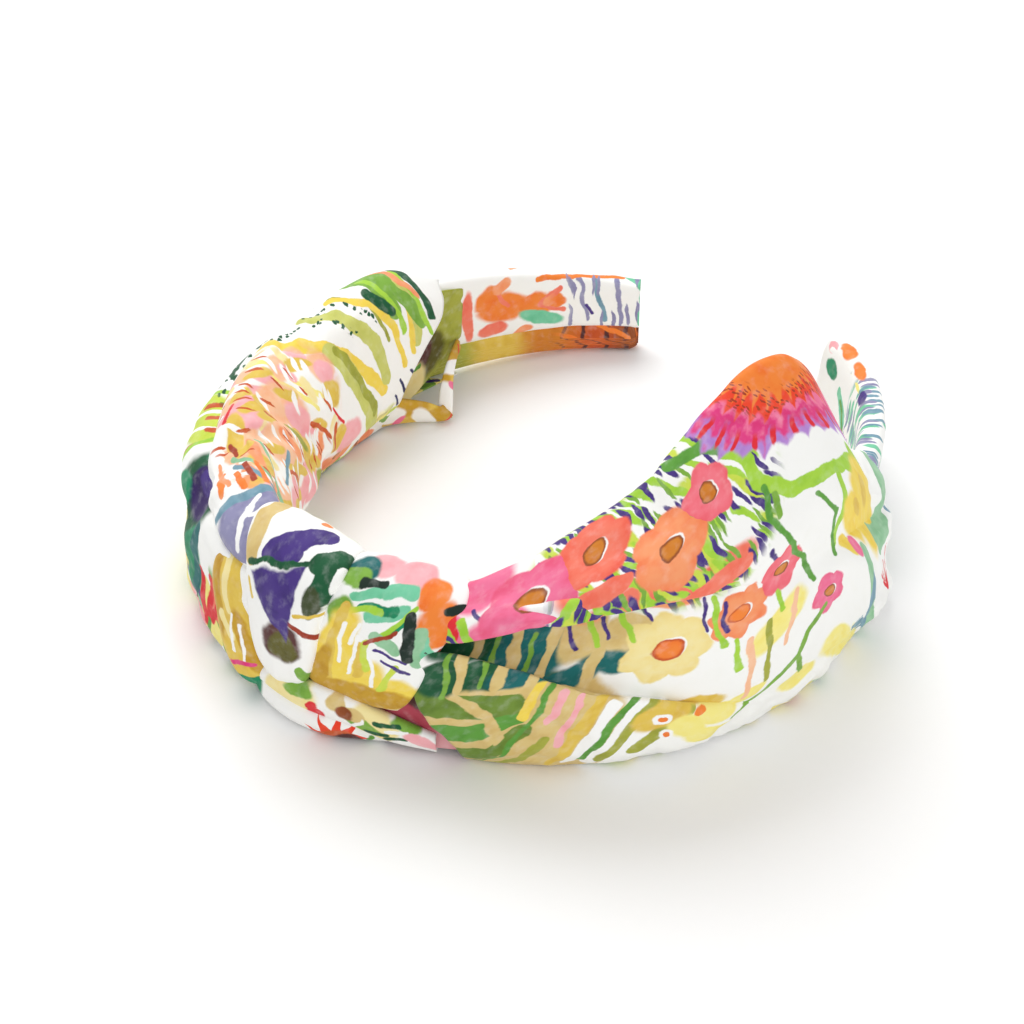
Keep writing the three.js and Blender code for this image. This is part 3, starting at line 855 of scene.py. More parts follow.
class Print(Paint):
    # printed cotton: motifs are placed in millimetres of cloth, along the arm and across it
    def __init__(self, name, ground="ground", window=(-300, 300, -300, 300)):
        # window is the part of the cloth that this material covers: motifs outside it are left out
        super().__init__(name)
        self.window = window
        cloth = self.node("ShaderNodeUVMap", {"uv_map": "print"})
        self.flat = self.vector("MULTIPLY", cloth, (1000, 1000, 1000))
        wave = self.vector("SUBTRACT", self.noise(self.flat, brush["waveScale"], 1, "Color"),
                           (0.5, 0.5, 0.5))
        wobble = self.vector("SUBTRACT", self.noise(self.flat, brush["wobbleScale"], 2, "Color"),
                             (0.5, 0.5, 0.5))
        drawn = self.vector("ADD", self.flat,
                            self.vector("MULTIPLY", wave, (brush["wave"], brush["wave"], 0)))
        wobble = self.vector("MULTIPLY", wobble, (brush["wobble"], brush["wobble"], 0))
        self.drawn = self.vector("ADD", drawn, wobble)
        self.colour = colours[ground]
        self.pool = self.noise(self.flat, brush["poolScale"], 3)

    def near(self, x, y, reach):
        x0, x1, y0, y1 = self.window
        reach += brush["wave"]
        return x0 - reach < x < x1 + reach and y0 - reach < y < y1 + reach

    def local(self, x, y, turn, sizeX=1, sizeY=1):
        values = {"Vector": self.drawn, "Location": (x, y, 0), "Rotation": (0, 0, math.radians(turn)),
                  "Scale": (sizeX, sizeY, 1)}
        return self.node("ShaderNodeMapping", {"vector_type": "TEXTURE"}, values)

    def paint(self, colour, mask):
        if mask is None:
            return
        over = colours[colour] if isinstance(colour, str) else colour
        self.colour = self.mix(self.colour, over, mask)

    def blobs(self, colour, *places, soft=0.14):
        # ovals: x, y, half length, half width and, where it isn't 0, the turn
        reaches = (self.length(self.local(x, y, sum(turn), sizeX, sizeY))
                   for x, y, sizeX, sizeY, *turn in places if self.near(x, y, max(sizeX, sizeY)))
        return self.paintNearest(colour, reaches, 1, soft)

    def strokes(self, colour, width, *lines, soft=0.16):
        # brush strokes with round ends, each a row x, y, x, y and so on
        return self.paintNearest(colour, self.strokeReaches(width, lines), width / 2, soft)

    def strokeReaches(self, width, lines):
        for line in lines:
            for x0, y0, x1, y1 in zip(line[::2], line[1::2], line[2::2], line[3::2]):
                turn = math.degrees(math.atan2(y1 - y0, x1 - x0))
                half = math.hypot(x1 - x0, y1 - y0) / 2
                middle = ((x0 + x1) / 2, (y0 + y1) / 2)
                if self.near(*middle, half + width / 2):
                    place = self.vector("ABSOLUTE", self.local(*middle, turn))
                    past = self.vector("MAXIMUM", self.vector("SUBTRACT", place, (half, 0, 0)), (0, 0, 0))
                    yield self.length(past)

    def paintNearest(self, colour, reaches, size, soft):
        # the shapes as one mask, painted where a colour is given
        nearest = None
        for reach in reaches:
            nearest = reach if nearest is None else nearest.least(reach)
        if nearest is None:
            return None
        mask = nearest.falls(size - soft, size + soft)
        if colour:
            self.paint(colour, mask)
        return mask

    def wedges(self, colour, *places, soft=0.05):
        # triangles: x, y of the middle, half length, half width of the wide end, turn towards the point
        for x, y, long, wide, turn in places:
            if not self.near(x, y, max(long, wide)):
                continue
            ahead, beside = self.split(self.local(x, y, turn, long, wide))
            past = (ahead * 0.5 + abs(beside) - 0.5).most(-1 - ahead)
            self.paint(colour, past.falls(-soft, soft))

    def dashes(self, colour, turn, long, thin, keep, region, seed):
        # many short strokes lying one way
        if region is None:
            return
        place = self.local(seed * 13.7, seed * 5.3, turn, long, thin)
        cell = self.node("ShaderNodeTexVoronoi", {"voronoi_dimensions": "2D"},
                         {"Vector": place, "Scale": 1.0})
        chosen = self.node("ShaderNodeSeparateColor", None, {0: self.also(cell, "Color")}) < keep
        self.paint(colour, cell.falls(0.26, 0.36) * chosen * region)

    def bands(self, colour, turn, period, share, region, bend, seed):
        # broad curved stripes
        if region is None:
            return
        place, _ = self.split(self.local(seed * 3.1, 0, turn))
        bent = place + bend * self.noise(self.vector("ADD", self.flat, (seed * 17, 0, 0)), 0.07, 1)
        half = share * period / 2
        self.paint(colour, bent.maths("PINGPONG", period / 2).falls(half - 0.2, half + 0.2) * region)

    def flowers(self, *places, petals=5, heart=("amber", "brown")):
        # x, y, radius, turn, colour
        nearest, spot, tint = None, None, None
        for x, y, size, turn, colour in places:
            if not self.near(x, y, size):
                continue
            here = self.local(x, y, turn, size, size)
            reach = self.length(here)
            if nearest is None:
                nearest, spot, tint = reach, here, self.mix(colours[colour], colours[colour], 0.5)
                continue
            closer = reach < nearest
            spot = self.mixVector(spot, here, closer)
            tint = self.mix(tint, colours[colour], closer)
            nearest = nearest.least(reach)
        if nearest is not None:
            self.drawFlower(nearest, spot, tint, petals, heart)

    def drawFlower(self, reach, spot, tint, petals, heart, shown=1):
        # spot is the place within the flower, where the tips are 1 from its middle
        ahead, beside = self.split(spot)
        angle = beside.maths("ARCTAN2", ahead)
        edge = 0.8 + 0.2 * abs((angle * (petals / 2)).maths("COSINE"))
        inside = reach / edge
        deep = self.mix(tint, self.vector("MULTIPLY", tint, tint),
                        inside.rises(0.6, 1) * 0.3 + self.pool * 0.1)
        self.paint(deep, inside.falls(0.94, 1.03) * shown)
        # painted highlight: a white crescent beside the heart, off to one side
        self.paint("white",
                   self.length(self.vector("SUBTRACT", spot, (0.06, -0.06, 0))).falls(0.25, 0.3) * shown)
        self.paint(heart[1], reach.falls(0.28, 0.32) * shown)
        self.paint(heart[0], reach.falls(0.2, 0.28) * shown)

    def meadow(self, region, spacing, size, tints, seed, keep):
        # flowers strewn over a part of the cloth that has no placed ones
        place = self.local(seed * 9.1, seed * 4.7, seed * 20, spacing, spacing)
        cell = self.node("ShaderNodeTexVoronoi", {"voronoi_dimensions": "2D"},
                         {"Vector": place, "Scale": 1.0, "Randomness": 0.7})
        chance = self.node("ShaderNodeSeparateColor", None, {0: self.also(cell, "Color")})
        spot = self.vector("SUBTRACT", place, self.also(cell, "Position"))
        spot = self.vector("MULTIPLY", spot, (spacing / size, spacing / size, 0))
        tint = self.node("ShaderNodeValToRGB", {"stops": [colours[t] for t in tints]}, {0: chance})
        shown = (self.also(chance, 1) < keep) * region
        self.drawFlower(self.length(spot), spot, tint, 5, ("amber", "brown"), shown)

    def part(self, axis, start, end):
        # 1 between two lines across the cloth, on axis 0, along, or 1, across
        if self.window[2 * axis] > end + 3 or self.window[2 * axis + 1] < start - 3:
            return None
        line = self.split(self.drawn)[axis]
        return line.rises(start - 1.5, start + 1.5) * line.falls(end - 1.5, end + 1.5)

    def garden(self, region, seed, tints=("pink", "salmon", "coral", "cream", "palePink", "coralPink")):
        # a whole patch of mixed print
        if region is None:
            return
        self.bands("paleYellow", 40 + seed * 30, 26, 0.3, region, 22, seed)
        self.bands("grass", 100 + seed * 40, 23, 0.16, region, 24, seed + 2)
        self.dashes("limeYellow", 20 + seed * 50, 17, 4, 0.3, region, seed + 3)
        self.dashes("sage", 70 + seed * 20, 22, 7, 0.3, region, seed + 4)
        self.dashes("violet", 35 + seed * 50, 8, 1.8, 0.3, region, seed + 5)
        self.meadow(region, 17, 6.4, tints, seed, 0.7)

    def finish(self):
        # thin and pooled paint, then the weave
        cloudy = self.noise(self.flat, brush["cloudScale"], 3)
        colour = self.colour if isinstance(self.colour, Wire) else self.mix(self.colour, self.colour, 0.5)
        deep = self.vector("MULTIPLY", colour, colour)
        colour = self.mix(colour, deep, self.pool.rises(0.42, 0.75) * brush["deep"])
        colour = self.mix(colour, colours["white"], cloudy.rises(0.45, 0.85) * brush["thin"])
        warp, weft = self.split(self.vector("MULTIPLY", self.flat, (weave["threads"],) * 3))
        crossed = warp.maths("SINE") * weft.maths("SINE")
        slub = self.noise(self.vector("MULTIPLY", self.flat, (0.3, 3, 1)), weave["slubScale"], 2)
        values = {"Strength": weave["strength"], "Distance": weave["depth"],
                  "Height": crossed * weave["height"] + slub}
        bump = self.node("ShaderNodeBump", None, values)
        self.set(colour=colour, roughness=self.pool.rises(0.3, 0.8) * 0.12 + brush["roughness"], normal=bump)
        self.set(sheen=0.12, sheenRoughness=0.4, gloss=0.3)
        return self.material


print("prints")


def rightPrint(name, window):
    p = Print(name, "ground", window)
    p.garden(p.part(1, -140, -9), 1)
    p.garden(p.part(1, 78, 200), 4, ("paleYellow", "cream", "salmon"))
    # lower tier: broad leaves, then pale stripes
    lower = p.blobs(None, (35, 60, 22, 22), soft=0.04)
    p.paint("tan", lower)
    p.strokes("oliveGreen", 6, (21, 42, 30, 46, 38, 49))
    p.strokes("leafGreen", 4.6, (22, 51, 30, 54, 38, 53))
    p.strokes("oliveGreen", 3.6, (25, 60, 34, 61, 40, 57))
    p.strokes("olive", 2, (28, 68, 38, 67, 44, 60))
    p.strokes("tan", 1.8, (27, 41, 34, 50, 36, 58))
    p.strokes("leafGreen", 1.2, (27, 65, 36, 63, 42, 54, 45, 46))
    p.strokes("yellow", 2, (40, 53, 43, 45))
    p.strokes("palePink", 1.5, (44, 56, 47, 49), (46, 63, 50, 51))
    p.strokes("white", 2.8, (48, 70, 55, 57), (51, 72, 60, 58), (56, 71, 65, 59))
    p.strokes("ochreLight", 2.6, (45, 69, 49, 62, 53, 54))
    p.strokes("leafGreen", 1.6, (50, 70, 54, 63, 59, 56))
    p.strokes("olive", 2.2, (53, 71, 62, 58), (59, 70, 68, 61))
    p.blobs("ochreLight", (63, 62, 6, 3, -30), (70, 59, 5, 2.2))
    p.blobs("paleYellow", (68, 65, 4, 3), (73, 63, 4.5, 2.6), (79, 62, 4, 2), (72, 68, 5, 2))
    p.blobs("white", (63, 63, 1.3, 1.3), (64, 67, 1.2, 1.2))
    p.blobs("orange", (63, 63, 0.6, 0.6), (64, 67, 0.6, 0.6), (70, 62, 1.2, 0.7))
    # middle tier: teal leaves with tan stripes by the knot
    p.blobs("darkGreen", (31, 30, 9, 6, 20), (36, 40, 12, 3.4, 12), (26, 38, 5, 4))
    p.blobs("teal", (42, 34, 8, 6.5, 10), (44, 43, 10, 2.6, 8), (55, 43, 6, 3.4, 20))
    p.strokes("tan", 2, (29, 41, 32, 27), (36, 43, 39, 29), (41, 45, 46, 30), (50, 46, 53, 38))
    p.strokes("grass", 1.1, (33, 42, 36, 28), (39, 40, 42, 31), (26, 42, 28, 33))
    p.blobs("tan", (50, 35, 4.5, 6), (57, 38, 5, 4))
    # painted shadow: these coral blobs are a wash under the upper tier's lip
    p.blobs("coral", (58, 24, 13, 5.5, 4), (72, 27, 8, 4), (48, 26, 5, 3, 10))
    p.blobs("salmon", (51, 30, 4, 4), (65, 31, 5, 3))
    p.blobs("paleYellow", (85, 49, 7, 4, -30), (105, 67, 7, 5), (92, 70, 5, 2.4), (114, 62, 5, 4))
    p.strokes("peach", 1.4, (79, 48, 79, 62), (89, 45, 87, 56))
    p.strokes("olive", 1.3, (83, 46, 83, 61))
    p.flowers((64, 43, 8.5, 10, "cream"), (77, 40, 6, 40, "salmon"), petals=7, heart=("orange", "rust"))
    p.strokes("lime", 1.1, (50, 29, 52, 39), (56, 31, 58, 40), (72, 34, 74, 46), (76, 46, 77, 53),
              (84, 38, 86, 46))
    p.strokes("violet", 0.8, (46, 30, 49, 38), (53, 32, 54, 38), (59, 29, 61, 36), (70, 33, 71, 41),
              (74, 36, 75, 43), (83, 31, 85, 37), (63, 27, 65, 33))
    # upper tier: daisies in grass
    grassy = p.blobs(None, (66, 10, 25, 24, 12), soft=0.08)
    p.dashes("limeYellow", 62, 17, 3.4, 0.95, grassy, 2)
    p.dashes("lime", 56, 14, 2.2, 0.95, grassy, 3)
    p.dashes("grass", 70, 10, 1.3, 0.6, grassy, 8)
    p.dashes("violet", 66, 9, 1.6, 0.85, grassy, 5)
    p.blobs("pink", (31, 1, 7, 8), (36, 16, 7, 5, 10), (27, 13, 3, 5))
    p.strokes("red", 2, (26, 5, 28, 13), (24, 12, 26, 17))
    p.strokes("lime", 1.6, (29, 10, 32, 17), (26, 10, 28, 15), (30, -6, 36, -14), (38, -4, 44, -12))
    p.strokes("violet", 0.9, (31, 8, 35, 13), (27, 13, 30, 18), (34, -8, 38, -4), (42, -9, 45, -4))
    # painted shadow: the first coral stroke runs under the upper tier's lip
    p.strokes("coral", 3.6, (66, 28, 72, 27, 77, 28), (44, 16, 56, 17))
    p.flowers((41, 11, 8.8, 20, "pink"), (53, 7.5, 7.4, 65, "coral"), (65, 16, 7.6, 10, "salmon"),
              (75, 12, 5.8, 50, "coralPink"), (86, 37, 5, 0, "coralPink"), (98, 52, 5.2, 30, "pink"),
              (58, -10, 6, 20, "pink"))
    # vines and leaves on the white part
    p.strokes("lime", 3, (82, 8, 84, 12, 84.4, 16, 86, 20, 91, 24, 98, 25, 104, 24, 111, 19.5))
    p.strokes("leafGreen", 2.2, (70, 2, 78, 4.6, 82, 8))
    p.blobs("lime", (112, 18, 2.4, 2.4), (107, 23, 2.4, 2))
    p.strokes("lime", 2, (103, 26, 103.6, 32, 101, 42))
    p.strokes("leafGreen", 1.2, (96, 28, 100, 34, 101, 44), (85, 19, 84, 25, 88, 33, 94, 46))
    p.strokes("grass", 1.4, (86, 22, 86, 26), (97, 55, 93, 58, 90, 62, 83, 65, 77, 66), (90, 62, 92, 69))
    p.blobs("yellow", (113, 26, 6, 9, 12), (108, 34, 5, 5), (117, 19, 4, 6), (106, 42, 3, 2))
    p.blobs("ochreLight", (113, 24, 2, 3), (109, 32, 2, 1.6))
    p.strokes("sage", 5, (131, 3, 127, 14, 119, 26), (113, 40, 119, 48, 122, 60))
    p.blobs("pink", (109, 41, 1.8, 1.8))
    p.strokes("blueGrey", 2, (116, 40, 116, 52, 110, 62), (134, 0, 133, 16))
    p.strokes("red", 1.1, (126, 24, 128, 34), (123, 29, 128, 36, 131, 32), (118, 66, 122, 72))
    if not p.near(98, 0, 24):
        return p.finish()
    # the crested flower on the peak
    crest = p.local(98, 0, 8, 22, 17)
    ahead, beside = p.split(crest)
    angle = beside.maths("ARCTAN2", ahead)
    rays = abs((angle * 13).maths("SINE"))
    far = p.length(crest) + rays * 0.08 + p.pool * 0.1 - 0.05
    p.paint("lilac", far.falls(0.98, 1.04) * (beside + 0.6).rises(0, 0.4))
    p.paint("magenta", (far + p.pool * 0.4).falls(1.04, 1.16))
    p.paint("pink", (far + p.pool * 0.6).falls(0.98, 1.1))
    p.paint("red", (far - rays * 0.3).falls(0.7, 0.74) * rays.rises(0.86, 0.96) * far.rises(0.8, 0.9))
    p.paint("hotRed", (p.length(crest) + rays * 0.12).falls(0.66, 0.72))
    p.paint("orange", (p.length(crest) + rays * 0.16).falls(0.52, 0.6))
    p.dashes("redBrown", 60, 1.6, 0.6, 0.6,
             p.length(crest).rises(0.32, 0.4) * p.length(crest).falls(0.56, 0.64), 7)
    return p.finish()


def leftPrint(name, window):
    p = Print(name, "ground", window)
    p.garden(p.part(1, 33, 200), 2, ("paleYellow", "peach", "palePink", "coral", "cream"))
    p.garden(p.part(1, -200, -31), 3, ("palePink", "peach", "paleYellow", "salmon"))
    # top: curved bands
    p.strokes("yellow", 3.4, (89, 7, 93, 0, 100, -6, 108, -15, 114, -24))
    p.strokes("paleOlive", 6, (100, -8, 104, -16, 107, -26, 109, -35))
    p.strokes("olive", 2.6, (102, -8, 106, -17, 109, -27))
    p.strokes("paleOlive", 4, (103, 4, 109, -3, 114, -11, 116, -21), (127, 0, 132, -8, 130, -17))
    p.strokes("olive", 1.4, (112, 3, 118, -4, 120, -14))
    p.strokes("yellow", 2, (111, 3, 118, -4, 123, -12, 124, -22), (124, 3, 129, -8, 128, -20))
    p.strokes("paleYellow", 1.6, (80, 5, 83, -4, 88, -12), (77, 4, 80, -5, 84, -13))
    p.strokes("grass", 4.6, (124, 6, 127, -4, 133, -12), (118, 8, 122, 2, 124, -8))
    p.strokes("lime", 1.6, (130, 2, 133, -7, 136, -15), (121, 3, 124, -6, 126, -14))
    p.strokes("darkGreen", 2.6, (131, 3, 136, -5, 137, -11), (119, -2, 123, -8))
    p.strokes("salmon", 1.8, (126, 5, 130, -1, 134, -6))
    p.strokes("navy", 1, (122, -25, 124, -29), (126, -24, 128, -27), (119, -28, 121, -32))
    dotted = p.strokes(None, 1.6, (92, 5, 99, 3, 105, -1, 110, -8), (104, 5, 112, 0, 118, -8))
    p.dashes("darkGreen", 60, 1.9, 1.5, 0.9, dotted, 4)
    blossoms = p.blobs(None, (62, -9, 34, 20), soft=0.1)
    p.dashes("peach", 25, 12, 9, 0.8, blossoms, 11)
    p.dashes("cream", 70, 11, 6, 0.6, blossoms, 12)
    p.dashes("palePink", 110, 10, 6, 0.5, blossoms, 13)
    # blossoms
    p.blobs("peach", (72, -8, 9, 8), (58, -10, 8, 7, 20), (94, -8, 4, 4), (48, 0, 9, 5), (36, -8, 7, 5))
    p.blobs("palePink", (96, -27, 5.4, 4.6), (82, -32, 5, 4.6), (66, -24, 6, 5), (60, 2, 5, 4),
            (76, -12, 4, 5), (94, -9, 3, 3), (46, -20, 5, 5))
    p.blobs("ochreLight", (66, -2, 5, 2.4, 20), (92, -14, 4, 3), (90, -25, 4, 3, 30), (54, 4, 6, 2.2),
            (72, -20, 4, 5), (42, -3, 4, 4), (57, -17, 4, 3), (36, -17, 5, 4))
    p.blobs("salmon", (46, -1, 6, 2, 20), (80, -22, 4, 2, 30), (63, -12, 2.4, 5), (36, 2, 4, 2.4))
    p.dashes("ochreLight", 140, 12, 5, 0.5, blossoms, 14)
    p.dashes("white", 60, 9, 2.4, 0.4, blossoms, 16)
    p.dashes("rust", 95, 6.5, 1.5, 0.16, blossoms, 15)
    p.strokes("rust", 1.3, (80, -15, 87, -22), (90, -21, 88, -27), (52, -14, 57, -19), (38, -14, 43, -20),
              (32, -4, 40, -3), (74, -26, 77, -31))
    p.strokes("red", 1, (90, -17, 93, -22), (58, 6, 64, 5))
    p.blobs("olive", (77, -31, 3.4, 6.4, 30), (70, -14, 1.4, 5, 20))
    p.strokes("sage", 1.5, (52, -2, 42, -9, 34, -15), (46, 5, 38, -3, 31, -9))
    p.strokes("blueGrey", 1.3, (57, -11, 46, -13), (52, -22, 40, -26), (43, 5, 34, -2, 29, -6))
    # by the knot
    p.blobs("greyLilac", (25, 4, 6.5, 12), (22, 14, 6, 6))
    p.blobs("blueGrey", (31, 5, 1.6, 10))
    p.strokes("white", 1.5, (24, -8, 25, 6), (29, 2, 21, 12), (18, 14, 24, 19))
    p.strokes("orange", 1.6, (34, 4, 40, 5), (34, -1, 41, -1), (35, 9, 42, 8))
    p.strokes("redBrown", 1.3, (35, 1.5, 41, 2), (47, 4, 52, 5))
    p.strokes("salmon", 1.2, (34, -5, 44, -8), (36, 7, 46, 9))
    # outer tier
    p.blobs("limeYellow", (66, 23, 8, 6), (72, 26, 5, 6), (58, 36, 6, 4))
    p.strokes("white", 1.2, (62, 18, 66, 30), (69, 19, 73, 32), (56, 16, 59, 28))
    p.strokes("rust", 1.5, (62, 19, 63, 23), (67, 20, 68, 24), (72, 21, 73, 25), (60, 27, 61, 31))
    p.strokes("lime", 1.3, (58, 14, 61, 34), (76, 18, 78, 28))
    p.strokes("darkGreen", 1.2, (76, 18, 84, 22, 94, 22, 102, 18, 110, 8), (88, 23, 90, 29),
              (98, 21, 101, 28), (84, 10, 92, 12, 98, 10))
    fern = p.blobs(None, (92, 20, 20, 5))
    p.dashes("darkGreen", 10, 3, 1.4, 0.8, fern, 6)
    p.strokes("peach", 1.8, (80, 26, 90, 28, 101, 25), (84, 14, 96, 15))
    p.blobs("darkGreen", (46, 25, 9, 10, 10), (41, 34, 5, 7))
    p.blobs("emerald", (52, 18, 5, 4, 40), (38, 38, 4, 7, 10), (52, 32, 4, 4))
    p.blobs("deepViolet", (45, 26, 6, 6.4, 20))
    p.blobs("violet", (46, 24, 3, 3))
    p.strokes("teal", 3, (38, 30, 36, 38, 36, 44))
    p.blobs("paleYellow", (48, 46, 8, 5), (58, 42, 5, 4))
    p.strokes("red", 2, (24, 36, 29, 46), (29, 35, 30, 46), (34, 37, 31, 48))
    p.strokes("leafGreen", 1.2, (30, 47, 31, 56), (64, 36, 60, 46), (76, 32, 72, 44))
    p.strokes("orange", 1, (50, 42, 46, 49), (55, 42, 53, 49))
    return p.finish()


def wrapPrint():
    p = Print("knot_wrap_print")
    p.garden(p.part(0, -20, 25), 5, ("palePink", "violet", "cream"))
    p.strokes("tan", 4, (27, -9.5, 33, -10.5, 40, -9.5))
    p.strokes("violet", 3.4, (38.6, -5, 35.4, 0, 33, 4))
    p.strokes("violet", 4.4, (35, 1, 30.5, 6.4))
    p.strokes("violet", 3, (38.6, -4, 37, 2))
    p.strokes("darkGreen", 4, (37, 8, 34, 12, 32, 16), (37, 10, 42, 9.6))
    p.blobs("capsule", (44, 8.8, 3, 1.8, 5))
    p.strokes("redBrown", 1.4, (50, 4, 53, 10))
    p.blobs("maroon", (55.4, 2, 4.8, 5.2))
    p.blobs("darkOlive", (56.6, 2.5, 3.4, 3.8))
    p.wedges("violet", (47.6, 1, 7.6, 7.6, 17))
    p.strokes("darkGreen", 1, (41.4, -9.6, 39.4, -1, 37.4, 8))
    p.blobs("orange", (27, 2, 1.2, 1.2))
    p.strokes("ochreLight", 0.8, (47, 5.5, 46, 11), (44, -9, 47, -7))
    p.strokes("grass", 2, (62, 6, 66, 7))
    return p.finish()


def flapPrint():
    p = Print("knot_flap_print")
    p.garden(p.part(0, -20, 26), 6, ("palePink", "orange", "coral"))
    p.blobs("palePink", (31, -5, 3.4, 4), (32, 2, 4, 4.4))
    p.blobs("teal", (33, -9, 3.4, 3.4))
    p.blobs("grass", (35, -10, 2.2, 3), (43, -9.6, 4, 2.4))
    p.blobs("orange", (35, 7, 3.2, 3), (40, 10.4, 4.6, 4))
    p.strokes("mint", 2.2, (38.4, -8, 36, 0, 35.6, 3), (42, -4, 38.6, 3), (43, 9, 48, 12))
    p.strokes("emerald", 1.6, (40.5, -6, 39, 1), (45, 1, 40, 5))
    p.strokes("lime", 1.3, (41.5, -8, 40, -2), (38, 5, 45, 0))
    p.strokes("sage", 2.4, (45, -1, 47, 5), (42, 8, 50, 10))
    p.blobs("yellow", (52, -8, 11, 4.4), (58, -2, 7, 8), (60, 7, 5, 6))
    p.strokes("ochreLight", 2, (41, -9, 50, -9, 60, -7), (48, -3, 56, -1))
    p.blobs("ochre", (62, 0, 3.6, 14), (57, -9.5, 7, 2))
    p.strokes("white", 0.9, (44, -8, 54, -6), (46, -4, 56, -3), (50, 0, 58, 3), (44, -5, 48, -5))
    p.strokes("limeYellow", 1.8, (47, -2, 54, 0), (52, 6, 58, 5))
    p.strokes("violet", 0.8, (48, 1, 50, 8), (51, 3, 53, 9))
    p.strokes("redBrown", 1.1, (47, -2, 43.4, 3), (45, 12.6, 50, 12.6))
    p.strokes("blackGreen", 2.6, (39.8, 4.8, 48.6, 8.2))
    p.strokes("blackGreen", 1.6, (36, -8, 35.5, -3), (37, 11, 36, 14))
    return p.finish()


def lowerBandPrint():
    p = Print("knot_lower_band_print")
    p.blobs("cream", (16, 0, 7, 5), (35, 0, 5, 4))
    p.blobs("grass", (18, 2, 4, 1.6), (33, -1, 4, 1.6), (42, 2.4, 3.4, 1.4))
    p.blobs("red", (23, -2.6, 2, 1.8), (22, -0.6, 1.6, 1.3))
    p.blobs("tan", (27, 1.4, 2.2, 2), (31, 0.6, 2.6, 1.6))
    p.blobs("brown", (29, 0, 2, 1.6, 20))
    p.strokes("darkGreen", 1, (34, -2, 38, -1), (36, 1, 40, 2), (38, -2, 42, -1))
    p.strokes("white", 0.9, (30, -3, 33, 0), (38, 0, 42, 1))
    p.blobs("palePink", (45, 0, 4, 1.4))
    return p.finish()


def rollPrint():
    p = Print("knot_roll_print")
    turns = [math.radians(a) for a in (190, 155, 120, 85, 50, 15)]
    p.wedges("hotRed",
             *[(25 + 4.6 * math.cos(a), -2 + 3.8 * math.sin(a), 2.4, 1.2, math.degrees(a)) for a in turns])
    p.blobs("rust", (25, -2, 4, 2.6))
    p.blobs("emerald", (2, 1, 5, 4))
    p.blobs("teal", (0, -2, 4, 3))
    p.blobs("maroon", (27, -2, 3, 1.6))
    p.strokes("leafGreen", 0.9, (30, -3, 32, 0))
    p.strokes("violet", 0.8, (33, -3, 36, -1))
    return p.finish()


def pleatPrint():
    p = Print("knot_pleat_print", "ochreLight")
    p.blobs("ochre", (14, -3, 10, 2), (26, 3, 8, 1.8))
    p.strokes("cream", 2.2, (8, 1, 18, 1), (20, -2, 24, 0))
    p.strokes("white", 0.8, (19, 2, 27, -1), (22, 3.4, 30, 1))
    p.strokes("magenta", 1.1, (29, -3, 31, 3))
    p.strokes("emerald", 4.4, (34, -4, 37, 4))
    p.strokes("teal", 2, (38, -4, 40, 4))
    return p.finish()


def tuckPrint():
    p = Print("knot_tuck_print", "palePink")
    # painted shade: rose and maroon patches darken the pale pink cloth in the recess
    p.blobs("rose", (36, 0, 18, 9), (20, 0, 14, 9))
    p.blobs("maroon", (46, 2, 5, 4))
    return p.finish()


def endPrint():
    # yellow ochre cloth with white and pink, by the open end
    p = Print("left_end_print", "ochreLight")
    p.blobs("ochre", (8, 3, 6, 4), (20, 0, 8, 3))
    p.blobs("white", (5, 0, 4, 3.4), (14, -2, 2.4, 5, 30))
    p.blobs("pink", (8, -2.4, 2.4, 1.2, 60))
    p.strokes("red", 0.9, (19, -2, 22, 1))
    return p.finish()


def endTuckPrint():
    # painted shade: the olive ground with dark olive and maroon patches stands for the cloth inside the fold
    # in shade; the cream and green marks are print
    p = Print("left_end_tuck_print", "olive")
    p.blobs("darkOlive", (12, -4, 7, 6), (4, -3, 5, 6))
    p.blobs("maroon", (10, -3, 4, 5))
    p.blobs("cream", (6, -9, 6, 5))
    p.strokes("leafGreen", 1.2, (6, 8, 14, 10), (2, -4, 10, -6))
    return p.finish()


def facingPrint(far):
    # far is how far along the arm the strip's inner end is
    p = Print("left_facing_print")
    p.blobs("orange", (far + 13, 9, 7, 4.6), (far + 21, 8, 5.4, 3.4, 10), (far + 9, 12, 4, 3, 30),
            (far + 27, 9, 3, 2, -20))
    p.blobs("coral", (far + 3, 8, 1.8, 7), (far + 10, 3, 4, 1.8))
    p.strokes("coral", 1.2, (far + 22, 8, far + 28, 12), (far + 22, 8, far + 29, 6),
              (far + 14, 9, far + 11, 14))
    p.blobs("mint", (far + 23, 4.6, 6, 1.7, -12))
    p.strokes("greyLilac", 1, (far + 35, 3, far + 33, 14), (far + 44, 2, far + 43, 14))
    p.strokes("blueGrey", 1.2, (far + 40, 2, far + 37, 14), (far + 57, 3, far + 57, 12))
    p.strokes("mint", 3, (far + 50, 2, far + 50, 11, far + 46, 16))
    p.strokes("violet", 0.9, (far + 36, 4, far + 35, 7), (far + 52, 4, far + 53, 12))
    p.strokes("orange", 1.6, (far + 22, 15, far + 44, 15), (far + 53, 15, far + 62, 15))
    p.dashes("salmon", 30, 9, 4, 0.45, p.part(0, far + 2, far + 26), 31)
    p.dashes("greyLilac", 95, 10, 1.6, 0.35, p.part(0, far + 30, far + 70), 33)
    return p.finish()


def sleevePrint():
    # olive by the cover, then amber, then brown at the tip
    p = Print("left_sleeve_print", "olive")
    across, _ = p.split(p.drawn)
    p.paint("ochreLight", across.rises(150, 158))
    p.paint("amber", across.rises(164, 172))
    p.paint("rust", across.rises(176, 186))
    p.paint("brown", across.rises(188, 196))
    tipSide = across.rises(174, 182)
    p.bands("maroon", 8, 5, 0.2, tipSide, 5, 5)
    p.bands("orange", 96, 7, 0.2, tipSide, 3, 4)
    p.strokes("paleOlive", 1.4, (132, 2, 150, 4), (134, 20, 152, 19), (134, 36, 150, 38))
    return p.finish()


